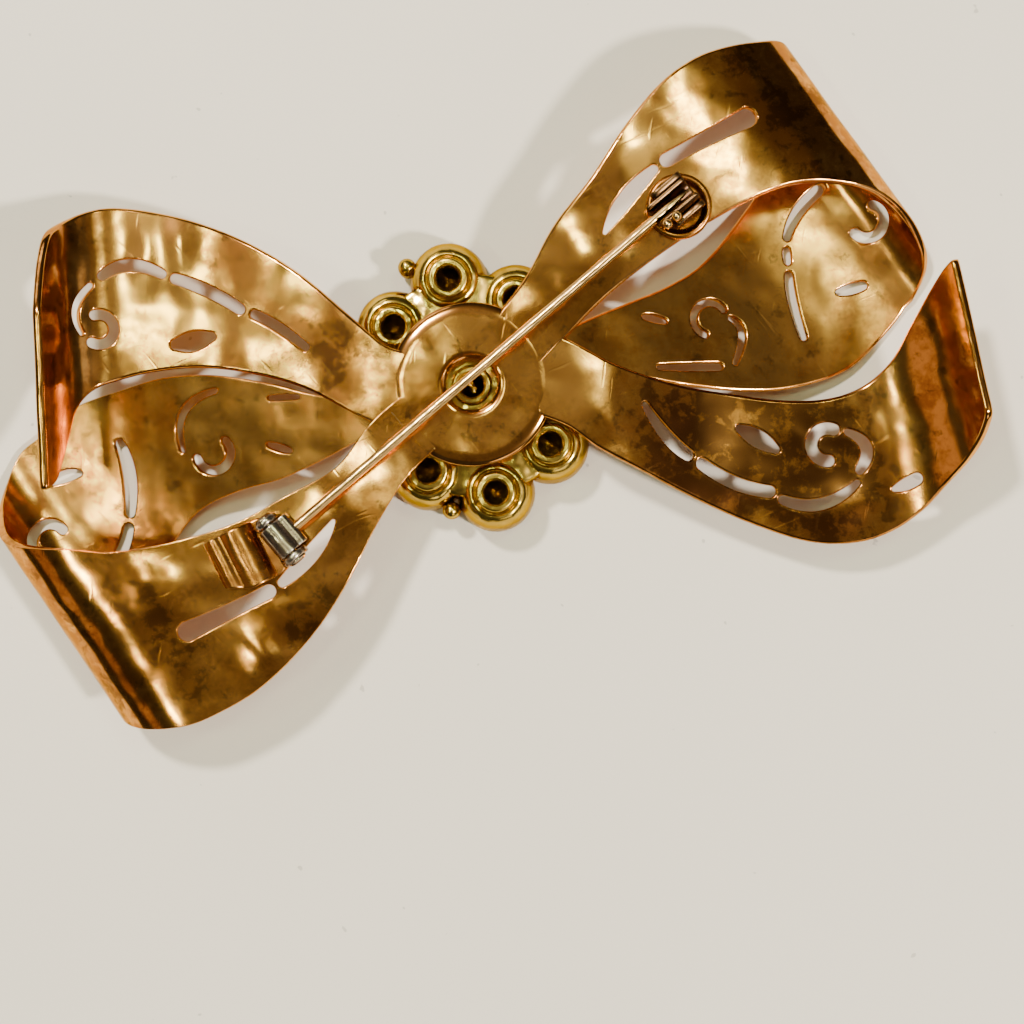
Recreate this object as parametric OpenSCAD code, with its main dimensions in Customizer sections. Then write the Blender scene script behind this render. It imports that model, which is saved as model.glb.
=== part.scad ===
// Rhinestone bow brooch, lying face down on a table with its pin on top.
// All sizes are in millimetres. The origin is the middle of the centre stone's face, which rests
// on the table. +Z points up from the table, and the bow's long side runs along X.

/* [Sheet] */
// Thickness of the stamped sheet metal
sheet_t = 0.65; // [0.5:0.05:0.7]
// Height of the middle of the centre plate's sheet above the table
plate_z = 6.7; // [6.65:0.05:6.9]
// Radius of the round centre plate
plate_r = 6.25; // [6:0.05:6.4]
// Radius of the round hole in the centre plate
plate_hole_r = 1.95; // [1.7:0.05:2.1]

/* [Loops] */
// Height of the middle of a loop's back layer, where the hinge and the catch sit
loop_z = 7.6; // [7.5:0.05:7.7]
// Direction of the right loop, seen from above
right_loop_angle = 36; // [34:1:38]
// Distance from the centre to the outside of the right loop's roll
right_loop_reach = 35.15; // [34.8:0.05:35.4]
// Direction of the left loop, seen from above
left_loop_angle = 214; // [212:1:216]
// Distance from the centre to the outside of the left loop's roll
left_loop_reach = 36.7; // [36.4:0.05:37]
// Radius of the bend with which a loop's front layer leaves the roll
front_bend_r = 36; // [34:1:38]

/* [Tails] */
// Direction of the right tail, seen from above
right_tail_angle = 12.7; // [11:0.1:14]
// Depth by which the right tail sinks below the centre plate
right_tail_drop = 1.9; // [1.6:0.1:2.1]
// Radius of the curl at the right tail's end
right_curl_r = 9; // [8:0.5:10]
// Angle through which the right tail's end curls up
right_curl = 70; // [60:1:75]
// Direction of the left tail, seen from above
left_tail_angle = 182.5; // [181:0.5:184]
// Depth by which the left tail sinks below the centre plate
left_tail_drop = 1.7; // [1.5:0.1:1.9]
// Radius of the curl at the left tail's end
left_curl_r = 4.2; // [4:0.1:4.5]
// Angle through which the left tail's end curls up
left_curl = 80; // [75:1:82]
// Length of the straight lip past the left tail's curl
left_lip = 2.5; // [2:0.1:3]

/* [Rosette] */
// Outer radius of a stone's cup at its front rim
cup_r = 3.05; // [3:0.05:3.15]
// Height of the cups' front rims above the table
cup_front_z = 0.75; // [0.7:0.05:0.8]
// Height of the cups' backs above the table
cup_back_z = 5.1; // [5:0.05:5.15]
// Radius of the hole in the back of a cup
cup_hole_r = 0.9; // [0.8:0.05:1]
// Outer radius of the raised ring round that hole
cup_ring_r = 1.56; // [1.5:0.02:1.6]
// Height of the raised ring
cup_ring_h = 0.4; // [0.3:0.05:0.4]
// Radius of the web that joins the cups
web_r = 8.6; // [8.4:0.1:8.8]
// Radius of the two casting stubs on the cups' sides
stub_r = 0.7; // [0.65:0.05:0.8]

/* [Stones] */
// Radius of a round stone at its girdle
stone_r = 2.45; // [2.3:0.05:2.5]
// Half length of the oval centre stone
centre_stone_a = 4.35; // [4.2:0.05:4.4]
// Half width of the oval centre stone
centre_stone_b = 3; // [2.9:0.05:3.05]
// Height of a stone's crown, from table to girdle
crown_h = 1; // [0.9:0.05:1]
// Depth of a stone below its girdle
pavilion_h = 1.9; // [1.7:0.05:2]
// Gap between a stone and its cup
stone_gap = 0.08; // [0.05:0.01:0.1]

/* [Pin] */
// Direction of the pin stem from hinge to catch, seen from above
stem_angle = 40.56; // [40:0.01:41]
// Distance by which the stem's line passes beside the centre
stem_offset = 0.33; // [0.2:0.01:0.5]
// Height of the stem's axis above the table
stem_z = 9.8; // [9.75:0.05:9.9]
// Radius of the stem
stem_r = 0.36; // [0.3:0.01:0.4]
// Distance from the centre to the hinge axis
hinge_reach = 18.5; // [18.2:0.1:18.8]
// Distance from the centre to the stem's point
tip_reach = 21.6; // [21.2:0.1:21.8]
// Length of the stem's taper
taper = 2.4; // [1.5:0.1:3]

/* [Hinge] */
// Radius of the steel barrel at the stem's root
barrel_r = 1.1; // [1:0.05:1.15]
// Length of the barrel
barrel_l = 2.6; // [2.4:0.1:2.8]
// Radius of the rivet that the barrel turns on
rivet_r = 0.4; // [0.35:0.01:0.45]
// Running clearance between the rivet and the barrel
rivet_gap = 0.05; // [0.03:0.01:0.08]
// Gap between the barrel's end and an ear
ear_gap = 0.12; // [0.1:0.01:0.2]
// Thickness of the bracket's metal
bracket_t = 0.5; // [0.4:0.05:0.5]
// Turn of the bracket's hood against the stem
hood_skew = 14; // [10:1:18]

/* [Catch] */
// Distance from the centre to the middle of the catch
catch_reach = 20.7; // [20.5:0.1:20.9]
// Length of the catch's housing
housing_l = 2.9; // [2.7:0.1:3]
// Outer radius of the housing
housing_r = 1.65; // [1.6:0.05:1.7]
// Bore of the housing
housing_bore = 1.15; // [1.1:0.01:1.2]
// Running clearance between the housing and the sleeve
sleeve_gap = 0.05; // [0.03:0.01:0.08]
// Bore of the rotating sleeve
sleeve_bore = 0.75; // [0.7:0.01:0.8]
// Radius of the catch's round base
catch_base_r = 2.15; // [2:0.05:2.2]

/* [Hidden] */
$fn = 48;

// Half of the sheet's thickness and of the plate's, which the strips' roots lie inside
half_t = sheet_t / 2;
plate_half_t = half_t + 0.02;
// The loops' outer face, which the hinge and the catch stand on
seat_z = loop_z + half_t;

// Largest turn and longest run of one facet in a bent strip
facet_turn = 9;
facet_run = 2;

// A loop runs flat under the plate's edge, climbs to its back layer, goes round the roll and
// comes back as the front layer, which climbs until it is soldered under the plate.
roll_r = (loop_z - half_t) / 2;
loop_flat = 6.4;
loop_climb = 4.6;
front_end = 5;

// Loop sections: run along the strip, low edge and high edge across it
RIGHT_LOOP = [
    [4.5, -2, 3.1], [8.2, -1.3, 4.2], [12, -0.7, 6], [16.5, -0.5, 7.3], [21, -0.65, 9],
    [25, -1.1, 9.9], [28.5, -1.9, 9.8], [31.2, -3.3, 9.1], [34.2, -5.9, 8], [37, -9.7, 7.2],
    [39.2, -12.8, 6], [42.6, -14.8, 3.4], [45.6, -15.7, 0], [49.4, -16.1, -1.6], [54, -14.7, -2.75],
    [57.5, -12.6, -2.6], [60.8, -9.9, -1.9], [64, -6.9, -1.2], [69.4, -2.6, -0.2]
];
LEFT_LOOP = [
    [4.7, -2.3, 2.5], [8.2, -1.8, 3.2], [12, -0.5, 4.9], [16.5, -0.8, 7.4], [21, -1.3, 9.2],
    [26, -2.9, 10.2], [30, -4.8, 10], [32.8, -7, 9.3], [38.5, -11, 6],
    [44.2, -15.4, 2.4], [47, -15.8, -0.6], [50.5, -16.1, -2.8], [54, -15.2, -3.9],
    [57.7, -14, -3.4], [61.1, -12, -2.3], [64.5, -9, -1.7], [67.8, -5.6, -1.3], [72.6, -2.6, -0.2]
];

// Tail sections: run along the strip, low edge and high edge across it
RIGHT_TAIL = [
    [4.4, -3.4, 2.6], [6.5, -4.8, 2.5], [8.2, -6.7, 1.5], [10.9, -9, -0.8], [15.2, -12.5, -3.3],
    [19.4, -15.5, -5], [23, -17.5, -6.3], [26.5, -18.3, -7], [29.4, -18, -6.7],
    [32, -16.9, -5.3], [34.2, -15.4, -3], [36.4, -14, -0.9], [38.4, -12.5, 0.5], [40, -10.9, 1.1]
];
LEFT_TAIL = [
    [4.6, -2.6, 3.4], [6.5, -3.3, 3.2], [8.5, -5.1, 2.2], [12.7, -8.9, -0.2], [16.6, -11.5, -1.5],
    [20.5, -13.3, -2.2], [24.4, -14.4, -2.1], [27.5, -14.8, -1.5], [29.4, -14.5, -0.8],
    [30.9, -13.9, 0.7], [31.8, -13.5, 2.9], [33.5, -12.5, 5.8], [34.6, -10.6, 6.4], [36, -6.7, 6.8]
];

// Slots: start, middle and end of the centre line, then the width at each of the three
BACK_SLOTS = [
    [21.9, 5, 25, 4.6, 28.7, 4.05, 1.05, 1.1, 1.5],
    [14.9, 3.3, 17.6, 4.4, 20.7, 5, 0.3, 1.2, 0.7]
];
// Shift of the left loop's back slots against the right loop's
left_back_shift = [-0.4, -0.5];
RIGHT_FRONT_SLOTS = [
    [13.8, -3.5, 14.3, -4, 14.9, -4.7, 0.4, 0.6, 0.4],
    [12.4, -7.3, 14.4, -8.7, 16.3, -10, 0.4, 0.6, 0.6],
    [19.3, -7.5, 19.3, -9, 17.5, -10.5, 0.4, 0.6, 0.4],
    [31, -3.4, 28.7, -3.85, 26.85, -4.95, 0.9, 0.9, 0.6],
    [26.2, -5.75, 25.95, -6.15, 25.75, -6.5, 0.6, 0.65, 0.6],
    [25.2, -7.4, 24.2, -9.25, 23.2, -12, 0.65, 0.75, 0.6],
    [27.6, -10.8, 28.5, -11.15, 29.5, -11.5, 0.5, 0.85, 0.7]
];
LEFT_FRONT_SLOTS = [
    [14.4, -3.7, 14.9, -4.3, 15.5, -5, 0.4, 0.6, 0.4],
    [11.5, -6.7, 12.5, -7.35, 13.4, -7.9, 0.35, 0.5, 0.4],
    [16.6, -10.8, 19.6, -10.9, 21.4, -8.5, 0.4, 0.6, 0.4],
    [25.3, -11.8, 26.1, -9.3, 27.7, -6.9, 0.8, 1.1, 0.8],
    [28.5, -5.95, 30.3, -4.6, 32.4, -4, 0.8, 0.9, 0.8],
    [29.3, -11.7, 30.3, -12.1, 31.4, -12.3, 0.5, 0.95, 0.6]
];
RIGHT_TAIL_SLOTS = [
    [12.56, -4.43, 13.6, -7, 14.95, -8.87, 0.5, 0.95, 0.9],
    [15.85, -9.78, 17.99, -11.75, 20.52, -13, 0.9, 1, 0.9],
    [21.37, -13.84, 24.2, -14.8, 27.23, -13.82, 0.7, 0.9, 0.5],
    [19.3, -7.75, 20.5, -8.8, 21.7, -9.95, 0.6, 1.35, 0.6],
    [27.35, -9.85, 28.5, -11.3, 27.66, -12.9, 0.5, 0.9, 0.7],
    [29.9, -14.9, 30.8, -14.75, 31.7, -14.5, 0.4, 0.9, 0.9]
];
LEFT_TAIL_SLOTS = [
    [12.5, -3.4, 14.4, -4.95, 16.4, -6.15, 0.6, 0.75, 0.7],
    [17.5, -6.6, 19.9, -8.1, 22.4, -9.15, 0.85, 0.9, 0.8],
    [23.4, -9.55, 25.9, -10.35, 28, -9.6, 0.7, 0.95, 0.7],
    [19.8, -4.6, 21.2, -4.3, 22.6, -4.1, 0.7, 1.5, 0.8],
    [29.7, -5.2, 30.05, -7.1, 28.9, -8.9, 0.3, 0.5, 0.4]
];

// Heights between which the slots of a layer are cut
back_low_z = 6.6;
back_high_z = 9;
front_high_z = 5.6;
tail_low_z = 3;
tail_high_z = 12;

// Hooked slots: centre of the arc, its radius, the angles that it runs between, and its width
RIGHT_FRONT_HOOKS = [[17.95, -6.6, 1.3, 215, 0, 0.55], [32.7, -7.6, 1.3, 35, -172, 0.8]];
LEFT_FRONT_HOOKS = [[19.5, -6.95, 1.35, 190, -15, 0.7], [34.2, -8.6, 1.3, 35, -172, 0.8]];
RIGHT_TAIL_HOOKS = [[25.65, -10.45, 1.25, 262, 55, 0.9]];
LEFT_TAIL_HOOKS = [[28.4, -5.5, 1.15, -75, -300, 0.75]];

// Half of the rosette's cups: distance from the centre and direction. The other half is opposite.
CUPS = [[7.52, 143.3], [8.42, 102.6], [7.38, 62.8], [6.46, 8.9]];
cup_count = 2 * len(CUPS);
// Long axis of the oval in the middle, and the wall of its cup
oval_angle = 102.6;
centre_wall = 0.47;
stone_table = 0.55;
girdle_h = 0.15;
girdle_sides = 16;
web_front_z = 2.2;
web_back_z = 4.85;
groove_w = 0.28;
groove_h = 0.25;
pad_inner_r = 2.2;
pad_outer_r = 4.2;
// Places of the casting stubs, and the heights between which they stand
STUBS = [[-5.05, 9.2], [-1.6, -9.6]];
stub_front_z = 1;
stub_back_z = 3.2;

// Half section of a cup's body, tapered and then rounded over to its back
CUP_SECTION = [[0, cup_front_z], [cup_r, cup_front_z], [cup_r - 0.25, 3.4], [cup_r - 0.45, 4.5],
    [cup_r - 0.75, cup_back_z], [0, cup_back_z]];

// The hinge's ears, the top of its base, its hood and the rivet's heads
ear_in = barrel_l / 2 + ear_gap;
ear_out = ear_in + bracket_t;
ear_r = 1.05;
bracket_top = seat_z + bracket_t;
hood_t = 0.45;
hood_bend = 1;
hood_back = 5.3;
hood_front = 1.9;
hood_half_w = 2.2;
hood_h = 1.95;
rivet_head_r = 0.75;
rivet_head_h = 0.25;

// The two ends of the catch's housing along the stem
catch_from = catch_reach - housing_l / 2;
catch_to = catch_reach + housing_l / 2;

// Openings of the catch's housing and sleeve, as angles from straight up towards the stem's left.
// The sleeve's lever stands in the housing's opening, beside the sleeve's own.
HOUSING_OPENING = [-72, 75];
SLEEVE_OPENING = [-30, 75];
lever_angle = -46;
lever_r = 1.3;
lever_l = 1.7;
lever_front = 0.85;
lever_t = 0.4;
knob_r = 0.4;

metal_copper = [0.72, 0.45, 0.22];
metal_brass = [0.8, 0.65, 0.25];
stone_clear = [0.9, 0.93, 0.96];

// Place and heading at run s of a strip whose rows are [run, turn], from place x, z, heading a
function strip_at(rows, s, x = 0, z = 0, a = 0, i = 0) =
    let (
        run = rows[i][0],
        turn = rows[i][1],
        part = (i == len(rows) - 1 || s <= run) ? s : run,
        b = a + turn * part / run,
        r = turn == 0 ? 0 : run * 180 / (PI * turn),
        next_x = turn == 0 ? x + part * cos(a) : x + r * (sin(b) - sin(a)),
        next_z = turn == 0 ? z + part * sin(a) : z + r * (cos(a) - cos(b))
    )
    part == s ? [next_x, next_z, b] : strip_at(rows, s - run, next_x, next_z, b, i + 1);

// Runs at which a strip of such rows gets a station, so that no facet turns or runs too far
function strip_runs(rows, i = 0, start = 0) =
    i == len(rows) ? [start] :
    let (
        run = rows[i][0],
        steps = max(ceil(abs(rows[i][1]) / facet_turn), ceil(run / facet_run))
    )
    concat([for (k = [0:steps - 1]) start + run * k / steps], strip_runs(rows, i + 1, start + run));

// Smooth value of a table's column at s, where each row starts with its place
function row_slope(rows, col, i) =
    let (before = max(i - 1, 0), after = min(i + 1, len(rows) - 1))
    (rows[after][col] - rows[before][col]) / (rows[after][0] - rows[before][0]);
function row_before(rows, s, i = 0) =
    (i >= len(rows) - 2 || s < rows[i + 1][0]) ? i : row_before(rows, s, i + 1);
function column_at(rows, col, s) =
    let (
        i = row_before(rows, s),
        gap = rows[i + 1][0] - rows[i][0],
        t = (s - rows[i][0]) / gap,
        slope_a = row_slope(rows, col, i) * gap,
        slope_b = row_slope(rows, col, i + 1) * gap,
        turned = 3 * t * t - 2 * t * t * t
    )
    (1 - turned) * rows[i][col] + turned * rows[i + 1][col]
    + t * (1 - t) * ((1 - t) * slope_a - t * slope_b);

// Bends of a loop: flat, climb, back layer, roll, and the front layer up to the plate
function climb_turn(rise, run) = 2 * atan(rise / run);
function loop_bends(reach, front_turn) =
    let (
        a = climb_turn(loop_z - plate_z, 2 * loop_climb),
        climb_run = loop_climb * PI * a / 180 / sin(a),
        back_run = reach - half_t - roll_r - loop_flat - 2 * loop_climb,
        bend_run = front_bend_r * PI * front_turn / 180,
        bend_rise = front_bend_r * (1 - cos(front_turn)),
        front_run = (plate_z - half_t - bend_rise) / sin(front_turn)
    )
    [[loop_flat, 0], [climb_run, a], [climb_run, -a], [back_run, 0],
     [PI * roll_r, -180], [bend_run, -front_turn], [front_run, 0]];

// Turn of the front layer that brings its end under the plate, found by halving
function front_reach(reach, turn) =
    reach - half_t - roll_r - front_bend_r * sin(turn)
    - (plate_z - half_t - front_bend_r * (1 - cos(turn))) / tan(turn);
function front_turn(reach, low = 12, high = 24, n = 14) =
    let (mid = (low + high) / 2)
    n == 0 ? mid
    : front_reach(reach, mid) > front_end ? front_turn(reach, low, mid, n - 1)
    : front_turn(reach, mid, high, n - 1);

// Bends of a tail: flat, sink, level, curl and lip
function tail_bends(drop, level, curl_r, curl, lip) =
    let (
        sink = 6.6,
        a = climb_turn(drop, 2 * sink),
        sink_run = sink * PI * a / 180 / sin(a)
    )
    concat([[7, 0], [sink_run, -a], [sink_run, a], [level, 0], [curl_r * PI * curl / 180, curl]],
           lip > 0 ? [[lip, 0]] : []);

right_front_turn = front_turn(right_loop_reach);
left_front_turn = front_turn(left_loop_reach);
right_loop_bends = loop_bends(right_loop_reach, right_front_turn);
left_loop_bends = loop_bends(left_loop_reach, left_front_turn);
right_tail_bends = tail_bends(right_tail_drop, 8.7, right_curl_r, right_curl, 0);
left_tail_bends = tail_bends(left_tail_drop, 7.4, left_curl_r, left_curl, left_lip);

// Length of a strip
function total_run(bends) = [for (row = bends) row[0]] * [for (row = bends) 1];

// The part of a sheet strip along X that lies between the runs first and last, bent as its bends
// say and as wide as its sections say
module strip(bends, sections, first, last) {
    runs = concat([first], [for (s = strip_runs(bends)) if (s > first + 0.1 && s < last - 0.1) s], [last]);
    points = [for (s = runs)
        let (
            at = strip_at(bends, s, 0, plate_z),
            up = half_t * [-sin(at[2]), cos(at[2])],
            low = column_at(sections, 1, s),
            high = column_at(sections, 2, s)
        )
        each [for (corner = [[low, 1], [high, 1], [high, -1], [low, -1]])
            [at[0] + corner[1] * up[0], corner[0], at[1] + corner[1] * up[1]]]];
    end = 4 * (len(runs) - 1);
    faces = concat(
        [[3, 2, 1, 0], [end, end + 1, end + 2, end + 3]],
        [for (i = [0:len(runs) - 2], j = [0:3])
            let (a = 4 * i + j, b = 4 * i + (j + 1) % 4)
            each j % 2 == 0 ? [[a, b, b + 4, a + 4]] : [[a, b, b + 4], [a, b + 4, a + 4]]]
    );
    polyhedron(points, faces);
}

// Outline of a band with round ends, from its centre line and its widths
function line_normal(line, i) =
    let (
        along = line[min(i + 1, len(line) - 1)] - line[max(i - 1, 0)],
        size = norm(along)
    )
    [-along[1], along[0]] / size;
function cap_arc(centre, normal, w) =
    [for (a = [30:30:150])
        centre + w / 2 * [normal[0] * cos(a) + normal[1] * sin(a), normal[1] * cos(a) - normal[0] * sin(a)]];
function band_outline(line, widths) =
    let (n = len(line) - 1)
    concat(
        [for (i = [0:n]) line[i] + widths[i] / 2 * line_normal(line, i)],
        cap_arc(line[n], line_normal(line, n), widths[n]),
        [for (i = [n:-1:0]) line[i] - widths[i] / 2 * line_normal(line, i)],
        cap_arc(line[0], -line_normal(line, 0), widths[0])
    );

// Value at share t of a smooth run through three values
function through(a, m, b, t) = a * (1 - t) * (1 - 2 * t) + m * 4 * t * (1 - t) + b * t * (2 * t - 1);

module slot(row) {
    shares = [for (k = [0:slot_steps]) k / slot_steps];
    line = [for (t = shares)
        [through(row[0], row[2], row[4], t), through(row[1], row[3], row[5], t)]];
    polygon(band_outline(line, [for (t = shares) through(row[6], row[7], row[8], t)]));
}

module hook(row) {
    steps = ceil(abs(row[4] - row[3]) / 20);
    line = [for (k = [0:steps])
        let (a = row[3] + (row[4] - row[3]) * k / steps)
        [row[0] + row[2] * cos(a), row[1] + row[2] * sin(a)]];
    polygon(band_outline(line, [for (k = [0:steps]) row[5]]));
}

// Slots and hooked slots cut upright through the sheet between two heights
module pierced(slots, hooks, low_z, high_z) {
    for (row = slots) translate([0, 0, low_z]) linear_extrude(high_z - low_z) slot(row);
    for (row = hooks) translate([0, 0, low_z]) linear_extrude(high_z - low_z) hook(row);
}

// A whole tail
module tail(bends, sections) {
    strip(bends, sections, sections[0][0], min(sections[len(sections) - 1][0], total_run(bends)));
}

// A whole loop, in two lengths that meet at the bottom of the roll
module loop(bends, sections) {
    total = total_run(bends);
    bottom = total - bends[5][0] - bends[6][0];
    strip(bends, sections, sections[0][0], bottom);
    strip(bends, sections, bottom, total);
}

// The stamped bow: centre plate, two loops and two tails in one sheet
module bow() color(metal_copper) {
    difference() {
        union() {
            translate([0, 0, plate_z - plate_half_t]) cylinder(h = 2 * plate_half_t, r = plate_r);
            rotate(right_loop_angle) loop(right_loop_bends, RIGHT_LOOP);
            rotate(left_loop_angle) loop(left_loop_bends, LEFT_LOOP);
            rotate(right_tail_angle) tail(right_tail_bends, RIGHT_TAIL);
            rotate(left_tail_angle) tail(left_tail_bends, LEFT_TAIL);
        }
        translate([0, 0, plate_z - 2]) cylinder(h = 4, r = plate_hole_r);
        rotate(right_loop_angle) {
            pierced(BACK_SLOTS, [], back_low_z, back_high_z);
            pierced(RIGHT_FRONT_SLOTS, RIGHT_FRONT_HOOKS, -1, front_high_z);
        }
        rotate(left_loop_angle) {
            translate(left_back_shift) pierced(BACK_SLOTS, [], back_low_z, back_high_z);
            pierced(LEFT_FRONT_SLOTS, LEFT_FRONT_HOOKS, -1, front_high_z);
        }
        rotate(right_tail_angle) pierced(RIGHT_TAIL_SLOTS, RIGHT_TAIL_HOOKS, tail_low_z, tail_high_z);
        rotate(left_tail_angle) pierced(LEFT_TAIL_SLOTS, LEFT_TAIL_HOOKS, tail_low_z, tail_high_z);
    }
}

// Place of cup i, counted round the rosette
function cup_place(i) =
    let (row = CUPS[i % len(CUPS)], a = row[1] + (i < len(CUPS) ? 0 : 180))
    row[0] * [cos(a), sin(a)];

// Outline of an oval with half axes a and b
module oval(a, b) {
    rotate(oval_angle) polygon([for (k = [0:$fn - 1]) [a * cos(360 * k / $fn), b * sin(360 * k / $fn)]]);
}

// Back hole, groove and front pocket of a round cup
module cup_hollow() {
    seat = crown_h + girdle_h + 0.05;
    translate([0, 0, seat - 1]) cylinder(h = 1, r = stone_r + stone_gap);
    translate([0, 0, seat]) cylinder(h = pavilion_h + 0.1, r1 = stone_r + stone_gap, r2 = cup_hole_r);
    cylinder(h = cup_back_z + 1, r = cup_hole_r);
    back_groove();
}

module back_groove() {
    translate([0, 0, cup_back_z - groove_h]) difference() {
        cylinder(h = 1, r = cup_ring_r + groove_w);
        translate([0, 0, -1]) cylinder(h = 3, r = cup_ring_r);
    }
}

// The cast rosette: eight round cups and an oval one on a web, seated under the plate
module rosette() color(metal_brass) {
    difference() {
        union() {
            for (i = [0:cup_count - 1]) translate(cup_place(i)) {
                rotate_extrude() polygon(CUP_SECTION);
                cylinder_ring();
            }
            translate([0, 0, cup_front_z]) linear_extrude(cup_back_z - cup_front_z)
                oval(centre_stone_a + centre_wall, centre_stone_b + centre_wall);
            cylinder_ring();
            translate([0, 0, web_front_z]) cylinder(h = web_back_z - web_front_z, r = web_r);
            for (place = STUBS) translate(place) stub();
            translate([0, 0, web_back_z - 0.1]) difference() {
                cylinder(h = plate_z - plate_half_t - web_back_z + 0.1, r = pad_outer_r);
                translate([0, 0, -1]) cylinder(h = 4, r = pad_inner_r);
            }
        }
        for (i = [0:cup_count - 1]) translate(cup_place(i)) cup_hollow();
        centre_hollow();
    }
}

module cylinder_ring() {
    translate([0, 0, cup_back_z - 1]) cylinder(h = 1 + cup_ring_h, r = cup_ring_r);
}

module centre_hollow() {
    seat = crown_h + girdle_h + 0.25;
    translate([0, 0, seat - 1.5]) linear_extrude(1.5)
        oval(centre_stone_a + stone_gap, centre_stone_b + stone_gap);
    translate([0, 0, seat - 0.01]) linear_extrude(pavilion_h - 0.1)
        oval(centre_stone_a - 0.3, centre_stone_b - 0.3);
    cylinder(h = cup_back_z + 1, r = cup_hole_r);
}

// A round-ended stub of the casting, which stands against a cup's side
module stub() {
    translate([0, 0, stub_front_z]) cylinder(h = stub_back_z - stub_front_z, r = stub_r);
    translate([0, 0, stub_back_z]) sphere(r = stub_r);
}

// A cut stone, table down on the table top: a crown of stars and kites, a girdle and a pavilion
module stone(a, b) color(stone_clear) {
    n = girdle_sides;
    table = [for (k = [0:n / 2 - 1]) [stone_table * a * cos(720 * k / n), stone_table * b * sin(720 * k / n), 0]];
    upper = [for (k = [0:n - 1]) [a * cos(360 * k / n), b * sin(360 * k / n), crown_h]];
    lower = [for (p = upper) [p[0], p[1], crown_h + girdle_h]];
    culet = [[0, 0, crown_h + girdle_h + pavilion_h]];
    u = n / 2;
    w = u + n;
    faces = concat(
        [[for (k = [0:n / 2 - 1]) k]],
        [for (k = [0:n / 2 - 1])
            let (next = (k + 1) % (n / 2), at = 2 * k, after = 2 * k + 1, before = (2 * k + n - 1) % n)
            each [[k, u + at, u + before], [k, u + after, u + at], [k, next, u + after]]],
        [for (k = [0:n - 1]) let (next = (k + 1) % n) [u + k, u + next, w + next, w + k]],
        [for (k = [0:n - 1]) [w + k, w + (k + 1) % n, w + n]]
    );
    polyhedron(concat(table, upper, lower, culet), faces);
}

module round_stone(i) {
    translate(cup_place(i)) rotate(CUPS[i % len(CUPS)][1]) stone(stone_r, stone_r);
}

module centre_stone() {
    rotate(oval_angle) stone(centre_stone_a, centre_stone_b);
}

// Frame of the pin: X along the stem from hinge to catch, Y to its left, centred on the brooch
module along_stem() {
    rotate(stem_angle) translate([0, stem_offset, 0]) children();
}

// Frame of the hinge axis, with the axis along Z
module on_hinge_axis() {
    translate([-hinge_reach, 0, stem_z]) rotate([90, 0, 0]) children();
}

// The hinge bracket: a base, two ears that hold the rivet, and a hood behind the barrel
module hinge_bracket() color(metal_copper) along_stem() {
    difference() {
        union() {
            translate([-hinge_reach - 1.6, -ear_out, seat_z]) cube([3.2, 2 * ear_out, bracket_t]);
            for (side = [-1, 1]) ear(side);
            translate([-hinge_reach, 0, 0]) rotate(-hood_skew) hood();
        }
        on_hinge_axis() cylinder(h = 10, r = rivet_r + 0.02, center = true);
    }
}

module ear(side) {
    translate([-hinge_reach, side * (ear_in + ear_out) / 2, 0]) {
        translate([0, 0, stem_z]) rotate([90, 0, 0]) cylinder(h = bracket_t, r = ear_r, center = true);
        translate([-ear_r, -bracket_t / 2, seat_z]) cube([2 * ear_r, bracket_t, stem_z - seat_z]);
    }
}

// The hood: a strip of the base's metal turned up at the back and folded towards the barrel
module hood() {
    bend_x = -hood_back + hood_t + hood_bend;
    bend_z = bracket_top + hood_h - hood_t - hood_bend;
    translate([-hood_back, -hood_half_w, seat_z]) cube([hood_back - 0.4, 2 * hood_half_w, bracket_t]);
    translate([-hood_back, -hood_half_w, seat_z]) cube([hood_t, 2 * hood_half_w, bend_z - seat_z]);
    translate([bend_x, -hood_half_w, bend_z + hood_bend])
        cube([-hood_front - bend_x, 2 * hood_half_w, hood_t]);
    translate([bend_x, hood_half_w, bend_z]) rotate([90, 0, 0]) linear_extrude(2 * hood_half_w)
        intersection() {
            difference() {
                circle(r = hood_bend + hood_t);
                circle(r = hood_bend);
            }
            translate([-4, 0]) square(4);
        }
}

// The rivet, with a head outside each ear
module hinge_rivet() color(metal_copper) along_stem() on_hinge_axis() {
    cylinder(h = 2 * ear_out, r = rivet_r, center = true);
    for (side = [-1, 1]) translate([0, 0, side * (ear_out + 0.02 + rivet_head_h / 2)])
        cylinder(h = rivet_head_h + 0.04, r = rivet_head_r, center = true);
}

// The pin stem, with the barrel at its root and the point in the catch
module pin_stem() color(metal_brass) along_stem() {
    difference() {
        union() {
            on_hinge_axis() cylinder(h = barrel_l, r = barrel_r, center = true);
            translate([-hinge_reach, 0, stem_z]) rotate([0, 90, 0])
                cylinder(h = hinge_reach + tip_reach - taper, r = stem_r);
            translate([tip_reach - taper, 0, stem_z]) rotate([0, 90, 0])
                cylinder(h = taper, r1 = stem_r, r2 = 0.08);
        }
        on_hinge_axis() cylinder(h = 10, r = rivet_r + rivet_gap, center = true);
    }
}

// Runs a flat shape along the stem: its X is across the stem, its Y is up from the stem's axis
module run_along(from, to) {
    translate([from, 0, stem_z]) rotate([90, 0, 90]) linear_extrude(to - from) children();
}

// A ring with an opening between two angles from straight up, counted towards +Y
module open_ring(outer, inner, opening) {
    mid = (opening[0] + opening[1]) / 2;
    difference() {
        circle(r = outer);
        circle(r = inner);
        polygon([[0, 0], for (a = [opening[0], mid, opening[1]]) 6 * [sin(a), cos(a)]]);
    }
}

// The catch's housing: a round base with an open ring on it
module catch_housing() color(metal_copper) along_stem() {
    difference() {
        union() {
            translate([catch_reach - 0.1, -0.4, seat_z]) cylinder(h = bracket_t, r = catch_base_r);
            run_along(catch_from, catch_to) open_ring(housing_r, housing_bore, HOUSING_OPENING);
        }
        run_along(catch_from - 4, catch_to + 4) circle(r = housing_bore);
    }
}

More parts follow.
